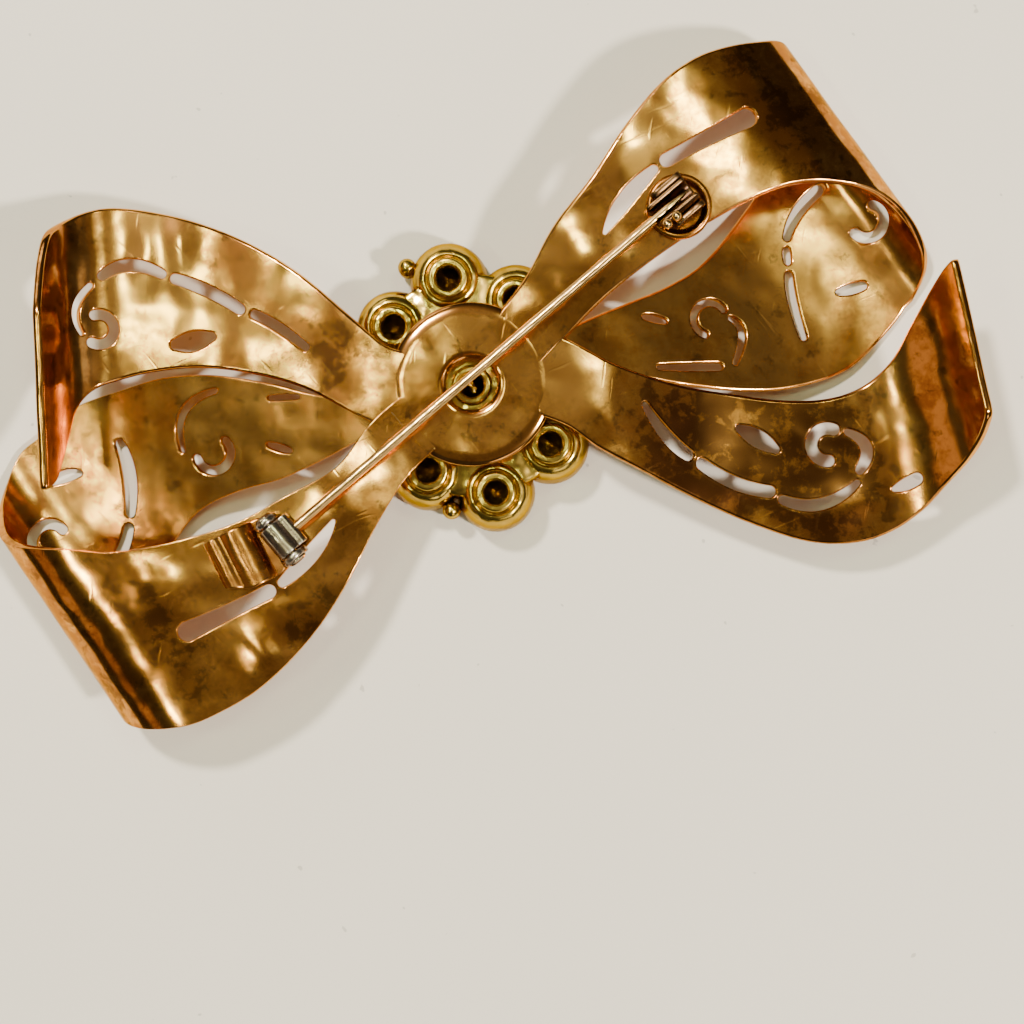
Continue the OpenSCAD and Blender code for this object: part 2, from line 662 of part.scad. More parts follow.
// The rotating sleeve that closes the catch, with a lever and two knobs in the housing's opening
module catch_sleeve() color(metal_copper) along_stem() {
    outer = housing_bore - sleeve_gap;
    front = catch_from - lever_front;
    run_along(front, catch_to - 0.1) open_ring(outer, sleeve_bore, SLEEVE_OPENING);
    run_along(front, front + lever_l) rotate(-lever_angle) difference() {
        translate([-lever_t / 2, 0]) square([lever_t, lever_r]);
        circle(r = (outer + sleeve_bore) / 2);
    }
    for (x = [front + knob_r, front + lever_l - knob_r])
        translate([x, lever_r * sin(lever_angle), stem_z + lever_r * cos(lever_angle)]) sphere(r = knob_r);
}

bow();
rosette();
centre_stone();
round_stone(0);  // stone_1
round_stone(1);  // stone_2
round_stone(2);  // stone_3
round_stone(3);  // stone_4
round_stone(4);  // stone_5
round_stone(5);  // stone_6
round_stone(6);  // stone_7
round_stone(7);  // stone_8
hinge_bracket();
hinge_rivet();
pin_stem();
catch_housing();
catch_sleeve();
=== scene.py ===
"""Rhinestone bow brooch, lying face down on a pale table with its pin on top.

The brooch is built from bent sheet metal, a cast rosette with cut stones, a hinged pin stem and a
safety catch. All sizes are in millimetres in the classes below and in metres in the scene.
"""

import logging
import math
from dataclasses import dataclass, field
from enum import Enum
from typing import NamedTuple

import bmesh
import bpy
import numpy as np
from mathutils import Matrix, Vector
from mathutils.geometry import delaunay_2d_cdt


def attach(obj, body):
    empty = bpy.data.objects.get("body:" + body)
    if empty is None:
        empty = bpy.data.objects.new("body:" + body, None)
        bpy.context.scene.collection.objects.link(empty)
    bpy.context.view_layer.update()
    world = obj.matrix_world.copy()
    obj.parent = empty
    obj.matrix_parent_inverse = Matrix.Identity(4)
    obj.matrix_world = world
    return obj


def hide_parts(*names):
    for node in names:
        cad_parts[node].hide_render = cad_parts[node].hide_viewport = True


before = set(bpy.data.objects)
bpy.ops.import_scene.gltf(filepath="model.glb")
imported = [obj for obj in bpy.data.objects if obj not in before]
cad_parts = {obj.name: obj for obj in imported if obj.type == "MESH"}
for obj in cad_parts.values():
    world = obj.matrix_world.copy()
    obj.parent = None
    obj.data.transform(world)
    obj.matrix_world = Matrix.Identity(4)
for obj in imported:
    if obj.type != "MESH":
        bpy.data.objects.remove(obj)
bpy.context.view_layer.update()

log = logging.getLogger("brooch")

MM = 0.001
Row = tuple[float, ...]
Colour = tuple[float, float, float]
Section = list[tuple[float, float]]

PLATE_Z = 6.7
LOOP_Z = 7.6
SHEET_T = 0.65
SEAT_Z = LOOP_Z + SHEET_T / 2
OUTLINE_STEP = 0.05
TINY = 1e-12


class Body(Enum):
    """The bodies that a piece can ride on."""

    BROOCH = "brooch"
    PIN = "pin"
    SLEEVE = "sleeve"


class Slot(Enum):
    """The material slots of the record."""

    BOW = "bow_metal"
    ROSETTE = "rosette_metal"
    STONE = "stone"
    FITTING = "fitting_metal"
    PIN = "pin_metal"


def smooth_column(rows: np.ndarray, column: int, runs: np.ndarray) -> np.ndarray:
    """Smooth values of a table's column.

    Args:
        rows: Table whose first column is the run along the strip.
        column: Column to read.
        runs: Runs at which values are wanted.

    Returns:
        One value for each run.
    """
    place, value = rows[:, 0], rows[:, column]
    slope = np.empty(len(rows))
    slope[1:-1] = (value[2:] - value[:-2]) / (place[2:] - place[:-2])
    slope[0] = (value[1] - value[0]) / (place[1] - place[0])
    slope[-1] = (value[-1] - value[-2]) / (place[-1] - place[-2])
    i = np.clip(np.searchsorted(place, runs, side="right") - 1, 0, len(rows) - 2)
    gap = place[i + 1] - place[i]
    t = (runs - place[i]) / gap
    eased = 3 * t**2 - 2 * t**3
    return (
        (1 - eased) * value[i]
        + eased * value[i + 1]
        + t * (1 - t) * ((1 - t) * slope[i] - t * slope[i + 1]) * gap
    )


def bell(reach: int, step: float, soften: float) -> np.ndarray:
    """Weights of a bell curve that add up to one."""
    weights = np.exp(-0.5 * (np.arange(-reach, reach + 1) * step / soften) ** 2)
    return weights / weights.sum()


def even_loop(loop: np.ndarray, step: float, soften: float) -> np.ndarray:
    """A closed line with evenly spaced points and gently rounded corners.

    Args:
        loop: Points of the closed line.
        step: Distance between the new points.
        soften: Length over which corners are rounded; 0 keeps them.

    Returns:
        The new points, in the same direction.
    """
    closed = np.vstack([loop, loop[:1]])
    along = np.concatenate([[0], np.cumsum(np.linalg.norm(np.diff(closed, axis=0), axis=1))])
    fine = max(8, int(along[-1] / OUTLINE_STEP))
    at = np.arange(fine) * along[-1] / fine
    points = np.stack([np.interp(at, along, closed[:, k]) for k in (0, 1)], axis=1)
    if soften > 0:
        reach = int(3 * soften / OUTLINE_STEP) + 1
        weights = bell(reach, OUTLINE_STEP, soften)
        points = sum(w * np.roll(points, reach - k, axis=0) for k, w in enumerate(weights))
    count = max(12, int(round(along[-1] / step)))
    pick = np.arange(count) * fine / count
    low = np.floor(pick).astype(int)
    share = (pick - low)[:, None]
    return points[low % fine] * (1 - share) + points[(low + 1) % fine] * share


def signed_area(loop: np.ndarray) -> float:
    """Area of a closed line, positive where it runs counter-clockwise."""
    after = np.roll(loop, -1, axis=0)
    return 0.5 * float(np.sum(loop[:, 0] * after[:, 1] - after[:, 0] * loop[:, 1]))


def turned_to(loop: np.ndarray, counter_clockwise: bool) -> np.ndarray:
    """The closed line, running the wanted way round."""
    return loop if (signed_area(loop) > 0) == counter_clockwise else loop[::-1].copy()


def left_normals(loop: np.ndarray) -> np.ndarray:
    """Unit vectors to the left of a closed line at its points."""
    along = np.roll(loop, -1, axis=0) - np.roll(loop, 1, axis=0)
    along /= np.linalg.norm(along, axis=1)[:, None] + TINY
    return np.stack([-along[:, 1], along[:, 0]], axis=1)


def inside(points: np.ndarray, loop: np.ndarray) -> np.ndarray:
    """Which points lie inside a closed line."""
    after = np.roll(loop, -1, axis=0)
    x, y = points[:, :1], points[:, 1:]
    spans = (loop[None, :, 1] > y) != (after[None, :, 1] > y)
    height = after[:, 1] - loop[:, 1]
    height = np.where(np.abs(height) < TINY, TINY, height)
    cross_x = loop[None, :, 0] + (y - loop[None, :, 1]) * ((after[:, 0] - loop[:, 0]) / height)[None, :]
    return (np.sum(spans & (x < cross_x), axis=1) % 2).astype(bool)


def within(points: np.ndarray, loops: list[np.ndarray]) -> np.ndarray:
    """Which points lie inside the first closed line and outside the others."""
    keep = inside(points, loops[0])
    for loop in loops[1:]:
        keep &= ~inside(points, loop)
    return keep


def nearest(points: np.ndarray, others: np.ndarray, batch: int = 400) -> np.ndarray:
    """Distance from each point to the nearest of the others, worked out in batches."""
    best = np.full(len(points), np.inf)
    for start in range(0, len(others), batch):
        part = others[start : start + batch]
        gap = np.linalg.norm(points[:, None, :] - part[None, :, :], axis=2)
        best = np.minimum(best, gap.min(axis=1))
    return best


def rounding_room(loop: np.ndarray, reach: float) -> np.ndarray:
    """How far the rounding of an edge may reach at each point, less where a corner is tight."""
    radius_share, slope, straight = 0.6, 0.5, 1e-6
    before, after = loop - np.roll(loop, 1, axis=0), np.roll(loop, -1, axis=0) - loop
    turn = np.arctan2(
        before[:, 0] * after[:, 1] - before[:, 1] * after[:, 0], np.sum(before * after, axis=1)
    )
    length = np.linalg.norm(before, axis=1)
    radius = length / np.maximum(turn, straight)
    room = np.minimum(reach, radius_share * radius)
    for _ in range(3):
        room = np.minimum(room, np.minimum(np.roll(room, 1), np.roll(room, -1)) + slope * length)
    return room


def circle(radius: float, x: float = 0.0, y: float = 0.0, sides: int = 96) -> np.ndarray:
    """Points of a circle, counter-clockwise."""
    a = np.linspace(0, 2 * np.pi, sides, endpoint=False)
    return np.stack([x + radius * np.cos(a), y + radius * np.sin(a)], axis=1)


def rectangle(x0: float, x1: float, y0: float, y1: float) -> np.ndarray:
    """Corners of a rectangle, counter-clockwise."""
    return np.array([[x0, y0], [x1, y0], [x1, y1], [x0, y1]], float)


def band(line: np.ndarray, widths: np.ndarray) -> np.ndarray:
    """Outline of a band with round ends, from its centre line and its widths."""
    along = np.gradient(line, axis=0)
    along /= np.linalg.norm(along, axis=1)[:, None]
    normal = np.stack([-along[:, 1], along[:, 0]], axis=1)
    half = widths[:, None] / 2
    a = np.radians(np.linspace(15, 165, 11))[:, None]

    def cap(i: int, sign: float) -> np.ndarray:
        """Points of the round end at one end of the line."""
        return line[i] + half[i] * (sign * normal[i] * np.cos(a) + sign * along[i] * np.sin(a))

    return np.vstack([line + half * normal, cap(-1, 1.0), (line - half * normal)[::-1], cap(0, -1.0)])


def parabola(
    start: np.ndarray | float, middle: np.ndarray | float, end: np.ndarray | float, t: np.ndarray
) -> np.ndarray:
    """Values at t from 0 to 1 on the parabola through a start, a middle and an end."""
    return start * (1 - t) * (1 - 2 * t) + middle * 4 * t * (1 - t) + end * t * (2 * t - 1)


@dataclass(frozen=True)
class Opening:
    """A pierced slot: start, middle and end of its centre line, and its width at each."""

    start: tuple[float, float]
    middle: tuple[float, float]
    end: tuple[float, float]
    widths: tuple[float, float, float]

    def outline(self) -> np.ndarray:
        """Points of the slot's outline, seen from above."""
        t = np.linspace(0, 1, 15)
        ends = (np.array([p]) for p in (self.start, self.middle, self.end))
        return band(parabola(*ends, t[:, None]), parabola(*self.widths, t))


@dataclass(frozen=True)
class Hook:
    """A pierced hook: centre, radius, the angles that it runs between, and its width."""

    centre: tuple[float, float]
    radius: float
    angles: tuple[float, float]
    width: float

    def outline(self) -> np.ndarray:
        """Points of the hook's outline, seen from above."""
        a = np.radians(np.linspace(self.angles[0], self.angles[1], 30))
        line = np.array([self.centre]) + self.radius * np.stack([np.cos(a), np.sin(a)], axis=1)
        return band(line, np.full(len(a), self.width))


Cut = Opening | Hook


def openings(rows: tuple[Row, ...], hooks: tuple[Row, ...] = ()) -> list[Cut]:
    """Slots and hooks from tables with the columns of the part's source."""
    made: list[Cut] = [Opening(r[0:2], r[2:4], r[4:6], r[6:9]) for r in rows]
    return made + [Hook(r[0:2], r[2], r[3:5], r[5]) for r in hooks]


@dataclass(frozen=True)
class Patch:
    """A soft patch of a sheet: where it is, how far it reaches along and across, and its strength.

    A dent's strength is its height in millimetres. A colour patch's is above 0 where the metal is browner
    and below 0 where it is cleaner. Some colour patches are tarnish; others darken a place as painted shade,
    such as the outer side of a roll.
    """

    run: float
    across: float
    reach_run: float
    reach_across: float
    strength: float

    def at(self, s: np.ndarray, v: np.ndarray) -> np.ndarray:
        """Strength at places on the sheet."""
        a = ((s - self.run) / self.reach_run) ** 2
        b = ((v - self.across) / self.reach_across) ** 2
        return self.strength * np.exp(-a - b)


def patches(*rows: Row) -> tuple[Patch, ...]:
    """Patches from rows of their fields."""
    return tuple(Patch(*row) for row in rows)


@dataclass(frozen=True)
class RimForm:
    """Section of a sheet's cut edge: how far its rounding reaches into the back and front faces."""

    reach: float = 0.3
    hole_share: float = 0.6
    least: float = 0.02
    profile: tuple[tuple[float, float], ...] = (
        (1.0, 1.0), (0.72, 0.97), (0.45, 0.87), (0.2, 0.66), (0.04, 0.35), (0.0, 0.0),
        (0.0, -0.4), (0.08, -0.72), (0.35, -0.95), (1.0, -1.0),
    )


class Wave(NamedTuple):
    """A slow wave of hand-bent metal: its share, its turns a millimetre along and across, its start."""

    share: float
    along: float
    across: float
    start: float


WAVES = (Wave(1.0, 0.62, 0.5, 0.4), Wave(0.7, 0.95, -0.8, 2.1), Wave(0.5, 0.35, 1.25, 4.0))


class Way(NamedTuple):
    """The bent middle line of a sheet: runs, places along and up, and headings in radians."""

    runs: np.ndarray
    along: np.ndarray
    up: np.ndarray
    heading: np.ndarray


@dataclass
class Sheet:
    """A piece of sheet metal: a flat outline with holes, bent along its first axis."""

    outline: np.ndarray
    bends: tuple[Row, ...] = ((1.0, 0.0),)
    holes: list[np.ndarray] = field(default_factory=list)
    thickness: float = SHEET_T
    start: tuple[float, float] = (0.0, 0.0)
    heading: float = 0.0
    place: Matrix = field(default_factory=lambda: Matrix.Identity(4))
    soften: float = 0.0
    pins: tuple[float, ...] = ()
    dents: tuple[Patch, ...] = ()
    # Browner and cleaner patches of colour; some are tarnish, others painted shade.
    stains_and_shade: tuple[Patch, ...] = ()
    wave: float = 0.0
    step: float = 0.5
    turn_step: float = 5.0
    rim: RimForm = field(default_factory=RimForm)
    rim_mark_width: float = 1.2
    satin: tuple[float, float] = (0.0, 0.0)
    corner: float = 0.12
    loop_step: float = 0.26
    hole_step_share: float = 0.7
    floor: float = -math.inf

    def path(self) -> Way:
        """The bent middle line."""
        beyond, ds = 6.0, 0.02
        runs = np.cumsum([0.0] + [row[0] for row in self.bends])
        turns = self.heading + np.cumsum([0.0] + [row[1] for row in self.bends])
        stretch = np.array([row[2] / row[0] if len(row) > 2 else 1.0 for row in self.bends])
        s = np.arange(-beyond, runs[-1] + beyond, ds)
        zero = int(np.argmin(np.abs(s)))
        heading = np.radians(np.interp(s, runs, turns))
        steps = ds * stretch[np.clip(np.searchsorted(runs, s, side="right") - 1, 0, len(stretch) - 1)]

        def walked(a: np.ndarray) -> np.ndarray:
            """Places on the way with these headings."""
            move = np.stack([np.cos(a), np.sin(a)], axis=1) * steps[:, None]
            at = np.cumsum(move, axis=0) - move / 2
            return at - at[zero] + np.array([self.start])

        exact = walked(heading)
        if self.soften <= 0:
            return Way(s, exact[:, 0], exact[:, 1], heading)
        reach = int(3 * self.soften / ds)
        heading = np.convolve(np.pad(heading, reach, mode="edge"), bell(reach, ds, self.soften), mode="valid")
        soft = walked(heading)
        pins = [0.0, *self.pins, float(runs[-1])]
        rows = [int(np.argmin(np.abs(s - p))) for p in pins]
        for k in (0, 1):
            soft[:, k] += np.interp(s, pins, exact[rows, k] - soft[rows, k])
        return Way(s, soft[:, 0], soft[:, 1], heading)

    def lift(self, s: np.ndarray, v: np.ndarray) -> np.ndarray:
        """Height of dents and waves at places on the sheet."""
        total = np.zeros_like(s)
        for dent in self.dents:
            total += dent.at(s, v)
        if self.wave:
            total += self.wave * sum(w.share * np.sin(w.along * s + w.across * v + w.start) for w in WAVES)
        return total

    def edge_lines(self) -> tuple[list[np.ndarray], list[np.ndarray]]:
        """The closed lines of the outline and the holes, and how far each one's rounding reaches."""
        reach, reach_share, spare = self.rim.reach, 1.2, 0.05
        corner = max(self.corner, reach_share * reach) if self.corner else 0.0
        hole_step = self.loop_step * self.hole_step_share
        lines = [turned_to(even_loop(self.outline, self.loop_step, corner), True)]
        lines += [turned_to(even_loop(hole, hole_step, 0.0), False) for hole in self.holes]
        reaches = []
        for i, line in enumerate(lines):
            rest = lines[:i] + lines[i + 1 :]
            room = nearest(line, np.vstack(rest)).min() if rest else math.inf
            own = reach * self.rim.hole_share if i else reach
            reaches.append(rounding_room(line, max(self.rim.least, min(own, room / 2 - spare))))
        return lines, reaches

    def face_points(self, way: Way, outer: np.ndarray, inner: list[np.ndarray]) -> np.ndarray:
        """Points of the flat face between its edges, closer together where it bends."""
        clear, widest = 0.4, 0.5
        low, high = outer.min(axis=0), outer.max(axis=0)
        bend_rate = np.abs(np.gradient(way.heading, way.runs))
        density = np.maximum(1 / self.step, bend_rate / np.radians(self.turn_step))
        on = (way.runs >= low[0]) & (way.runs <= high[0])
        amount = np.cumsum(np.where(on, density, 0)) * (way.runs[1] - way.runs[0])
        lines = np.interp(np.arange(0.5, amount[-1], 1.0), amount, way.runs)
        rows = np.arange(math.floor(low[1] / self.step), math.ceil(high[1] / self.step) + 1) * self.step
        grid = np.stack(np.meshgrid(lines, rows, indexing="ij"), axis=-1).reshape(-1, 2)
        grid = grid[within(grid, inner)]
        return grid[nearest(grid, np.vstack(inner)) > clear * min(self.step, widest)]

    @staticmethod
    def triangles(flat: np.ndarray, inner: list[np.ndarray]) -> np.ndarray:
        """Triangles of the flat face; its first points are those of its edges."""
        edges, first = [], 0
        for loop in inner:
            n = len(loop)
            edges += [(first + k, first + (k + 1) % n) for k in range(n)]
            first += n
        found = delaunay_2d_cdt([Vector(p) for p in flat.tolist()], edges, [], 0, 1e-7)
        if not all(found[3]):
            raise ValueError("the outlines of a sheet cross")
        tris = np.array([[found[3][i][0] for i in face] for face in found[2]])
        return tris[within(flat[tris].mean(axis=1), inner)]

    def bent(
        self, way: Way, points: np.ndarray, height: np.ndarray, out: np.ndarray, up: np.ndarray
    ) -> tuple[np.ndarray, np.ndarray]:
        """Carries points of the flat sheet to its bent form.

        Args:
            way: The bent middle line.
            points: Their runs and places across.
            height: Their heights over the middle.
            out: Shares of their normals along and across the sheet.
            up: Shares of their normals out of its back.

        Returns:
            Their places and normals.
        """
        s, v, d = points[:, 0], points[:, 1], 0.02
        x, z, a = (np.interp(s, way.runs, values) for values in way[1:])
        slope_s = (self.lift(s + d, v) - self.lift(s - d, v)) / (2 * d)
        slope_v = (self.lift(s, v + d) - self.lift(s, v - d)) / (2 * d)
        tangent = np.stack([np.cos(a), 0 * a, np.sin(a)], axis=1)
        side = np.tile([0.0, 1.0, 0.0], (len(a), 1))
        normal = np.stack([-np.sin(a), 0 * a, np.cos(a)], axis=1)
        at = np.stack([x, v, z], axis=1) + normal * (height + self.lift(s, v))[:, None]
        at[:, 2] = np.maximum(at[:, 2], self.floor)
        tilted = normal - tangent * slope_s[:, None] - side * slope_v[:, None]
        return at, tilted * up[:, None] + tangent * out[:, :1] + side * out[:, 1:]

    def build(self) -> "Shell":
        """The sheet's two faces and its rounded edges, in millimetres."""
        way = self.path()
        lines, reaches = self.edge_lines()
        inner = [line + reach[:, None] * left_normals(line) for line, reach in zip(lines, reaches)]
        flat = np.vstack([*inner, self.face_points(way, lines[0], inner)])
        tris = self.triangles(flat, inner)
        half, count, shell = self.thickness / 2, len(flat), Shell()

        def add(
            points: np.ndarray, height: np.ndarray, out: np.ndarray, up: np.ndarray, rim: np.ndarray,
            satin: float = 0.0,
        ) -> int:
            """Adds points of the flat sheet and gives the first one's index."""
            stain_and_shade = np.zeros(len(points))
            for patch in self.stains_and_shade:
                stain_and_shade = stain_and_shade + patch.at(points[:, 0], points[:, 1])
            return shell.add(*self.bent(way, points, height, out, up), rim, satin, stain_and_shade)

        rim = np.clip(1 - nearest(flat, np.vstack(lines)) / self.rim_mark_width, 0, 1)
        back, front = (
            add(flat, np.full(count, sign * half), np.zeros((count, 2)), np.full(count, sign), rim, satin)
            for sign, satin in zip((1.0, -1.0), self.satin)
        )
        shell.faces += (tris + back).tolist()
        shell.faces += (tris[:, ::-1] + front).tolist()
        profile = np.array(self.rim.profile)
        start = 0
        for line, reach in zip(lines, reaches):
            n, normals = len(line), left_normals(line)
            rings = [start + back + np.arange(n)]
            for behind, here, ahead in zip(profile, profile[1:], profile[2:]):
                out_step, up_step = (behind[0] - ahead[0]) * reach, (ahead[1] - behind[1]) * half
                size = np.hypot(out_step, up_step)
                ring = add(
                    line + here[0] * reach[:, None] * normals,
                    np.full(n, here[1] * half),
                    normals * (up_step / size)[:, None],
                    out_step / size,
                    np.ones(n),
                )
                rings.append(ring + np.arange(n))
            rings.append(start + front + np.arange(n))
            for upper, lower in zip(rings[:-1], rings[1:]):
                quads = np.stack([upper, lower, np.roll(lower, -1), np.roll(upper, -1)], axis=1)
                shell.faces += quads.tolist()
            start += n
        shell.move(self.place)
        return shell


@dataclass
class Shell:
    """Points, normals, surface values and faces that become a mesh, in millimetres."""

    points: list[np.ndarray] = field(default_factory=list)
    normals: list[np.ndarray] = field(default_factory=list)
    rims: list[np.ndarray] = field(default_factory=list)
    satins: list[np.ndarray] = field(default_factory=list)
    stains_and_shade: list[np.ndarray] = field(default_factory=list)
    faces: list[list[int]] = field(default_factory=list)
    count: int = 0

    def add(
        self, points: np.ndarray, normals: np.ndarray, rim: np.ndarray, satin: float, stain_and_shade: np.ndarray
    ) -> int:
        """Adds points with their normals, rim values, satin and patch values, which darken the metal, some as
        tarnish and some as painted shade.

        Returns:
            The index of the first of them.
        """
        self.points.append(points)
        self.normals.append(normals / (np.linalg.norm(normals, axis=1)[:, None] + TINY))
        self.rims.append(rim)
        self.satins.append(np.full(len(points), satin))
        self.stains_and_shade.append(stain_and_shade)
        self.count += len(points)
        return self.count - len(points)

    def move(self, place: Matrix) -> None:
        """Moves the shell."""
        m = np.array(place)
        self.points = [p @ m[:3, :3].T + m[:3, 3] for p in self.points]
        self.normals = [n @ m[:3, :3].T for n in self.normals]

    def join(self, other: "Shell") -> None:
        """Takes over another shell's points and faces."""
        self.faces += [[i + self.count for i in face] for face in other.faces]
        self.points += other.points
        self.normals += other.normals
        self.rims += other.rims
        self.satins += other.satins
        self.stains_and_shade += other.stains_and_shade
        self.count += other.count

    def piece(self, name: str, finish: "Finish") -> bpy.types.Object:
        """The shell as a smooth object with its own normals."""
        mesh = bpy.data.meshes.new(name)
        mesh.from_pydata((np.vstack(self.points) * MM).tolist(), [], self.faces)
        mesh.polygons.foreach_set("use_smooth", [True] * len(mesh.polygons))
        for label, values in (("rim", self.rims), ("satin", self.satins), ("stain_and_shade", self.stains_and_shade)):
            attribute = mesh.attributes.new(label, "FLOAT", "POINT")
            attribute.data.foreach_set("value", np.concatenate(values).astype(np.float32))
        mesh.normals_split_custom_set_from_vertices(np.vstack(self.normals).tolist())
        return placed(name, mesh, finish)


def linked(name: str, data: bpy.types.ID) -> bpy.types.Object:
    """A new object in the scene that shows this mesh, light or camera."""
    made = bpy.data.objects.new(name, data)
    bpy.context.scene.collection.objects.link(made)
    return made


def placed(name: str, mesh: bpy.types.Mesh, *finishes: "Finish") -> bpy.types.Object:
    """An object in the scene with this mesh and these finishes."""
    made = linked(name, mesh)
    mesh.materials.clear()
    for finish in finishes:
        mesh.materials.append(finish.material())
    return made


def lathe(profile: Section, sides: int = 64) -> bpy.types.Mesh:
    """A closed solid of revolution about Z.

    Args:
        profile: Radius and height of the section's points, all round it; the first and last are
            joined. Points at radius 0 become one vertex.
        sides: Number of sides.

    Returns:
        The mesh, in millimetres.
    """
    bm = bmesh.new()
    rings = []
    for radius, height in profile:
        if radius <= 0:
            rings.append([bm.verts.new((0, 0, height))] * sides)
            continue
        turns = [2 * math.pi * k / sides for k in range(sides)]
        rings.append([bm.verts.new((radius * math.cos(a), radius * math.sin(a), height)) for a in turns])
    closed = profile[0][0] > 0
    pairs = list(zip(rings, rings[1:] + rings[:1])) if closed else list(zip(rings[:-1], rings[1:]))
    for ring, after in pairs:
        for k in range(sides):
            corners = [ring[k], ring[(k + 1) % sides], after[(k + 1) % sides], after[k]]
            distinct = list(dict.fromkeys(corners))
            if len(distinct) > 2:
                bm.faces.new(distinct)
    bmesh.ops.recalc_face_normals(bm, faces=bm.faces)
    mesh = bpy.data.meshes.new("lathe")
    bm.to_mesh(mesh)
    bm.free()
    return mesh


def soften_by_angle(mesh: bpy.types.Mesh, degrees: float) -> None:
    """Smooth shading everywhere except over edges sharper than an angle."""
    bm = bmesh.new()
    bm.from_mesh(mesh)
    for face in bm.faces:
        face.smooth = True
    for edge in bm.edges:
        if len(edge.link_faces) == 2:
            edge.smooth = edge.calc_face_angle(0.0) < math.radians(degrees)
    bm.to_mesh(mesh)
    bm.free()


def turned(degrees: float, axis: str = "Z") -> Matrix:
    """A turn about one of the axes."""
    return Matrix.Rotation(math.radians(degrees), 4, axis)


def moved(x: float, y: float, z: float) -> Matrix:
    """A move by millimetres."""
    return Matrix.Translation((x, y, z))


class NodeTree:
    """Short calls that fill a node tree."""

    spacing = 180

    def __init__(self, tree: bpy.types.NodeTree) -> None:
        """Keeps the tree and starts its layout."""
        self.tree = tree
        self.column = 0

    def add(self, kind: str, **values: object) -> bpy.types.Node:
        """Adds a node.

        Args:
            kind: Type of the node without its ShaderNode prefix.
            values: Its properties, and its inputs by name with spaces as underscores.

        Returns:
            The node.
        """
        node = self.tree.nodes.new("ShaderNode" + kind)
        node.location = (self.spacing * self.column, 0)
        self.column += 1
        for name, value in values.items():
            socket = node.inputs.get(name.replace("_", " "))
            if socket is not None:
                self.feed(socket, value)
            else:
                setattr(node, name, value)
        return node

    def feed(self, socket: bpy.types.NodeSocket, value: object) -> None:
        """Links a socket to an output, or sets its value."""
        if isinstance(value, bpy.types.NodeSocket):
            self.tree.links.new(value, socket)
        else:
            socket.default_value = value

    def math(self, operation: str, a: object, b: object = 0.0, clamp: bool = False) -> bpy.types.NodeSocket:
        """Output of a math node."""
        node = self.add("Math", operation=operation, use_clamp=clamp)
        self.feed(node.inputs[0], a)
        self.feed(node.inputs[1], b)
        return node.outputs[0]

    def mix(self, factor: object, a: object, b: object) -> bpy.types.NodeSocket:
        """Output of a colour mix."""
        node = self.add("Mix", data_type="RGBA")
        for index, value in ((0, factor), (6, a), (7, b)):
            self.feed(node.inputs[index], value)
        return node.outputs[2]

    def ramp(
        self, value: object, low: float, high: float, a: float = 0.0, b: float = 1.0
    ) -> bpy.types.NodeSocket:
        """A value carried smoothly from one range to another."""
        node = self.add("MapRange", interpolation_type="SMOOTHSTEP", Value=value)
        for socket, number in zip(list(node.inputs)[1:5], (low, high, a, b)):
            self.feed(socket, number)
        return node.outputs[0]

    def noise(
        self, where: object, scale: object, detail: float = 3.0, rough: float = 0.5, warp: float = 0.0
    ) -> bpy.types.NodeSocket:
        """Value of a noise texture."""
        values = {"Vector": where, "Scale": scale, "Detail": detail, "Roughness": rough, "Distortion": warp}
        return self.add("TexNoise", **values).outputs[0]

    def place(self) -> bpy.types.NodeSocket:
        """Place on the object, which textures follow."""
        return self.add("TexCoord").outputs["Object"]

    def carried(self, name: str) -> bpy.types.NodeSocket:
        """A value that the mesh carries at its points."""
        return self.add("Attribute", attribute_name=name).outputs["Fac"]


class SharedEffect(Enum):
    """The node groups that several finishes use."""

    TARNISH_AND_SHADE = "tarnish"
    SCRATCHES = "scratches"
    HAND_WORK = "hand work"
    RIM_WEAR_AND_SHADE = "rim wear and shade"


def new_group(
    effect: SharedEffect, inputs: dict[str, tuple[str, object]], outputs: dict[str, str]
) -> tuple[bpy.types.NodeTree, NodeTree, bpy.types.NodeOutputs, bpy.types.NodeInputs]:
    """An empty shader node group with named sockets.

    Args:
        effect: The effect, which names the group.
        inputs: Socket type and default value of each input by name.
        outputs: Socket type of each output by name.

    Returns:
        The group, its short calls, what it is given and what it puts out.
    """
    group = bpy.data.node_groups.new(effect.value, "ShaderNodeTree")
    for name, (kind, value) in inputs.items():
        socket = group.interface.new_socket(name, in_out="INPUT", socket_type="NodeSocket" + kind)
        socket.default_value = value
    for name, kind in outputs.items():
        group.interface.new_socket(name, in_out="OUTPUT", socket_type="NodeSocket" + kind)
    start, end = group.nodes.new("NodeGroupInput"), group.nodes.new("NodeGroupOutput")
    return group, NodeTree(group), start.outputs, end.inputs


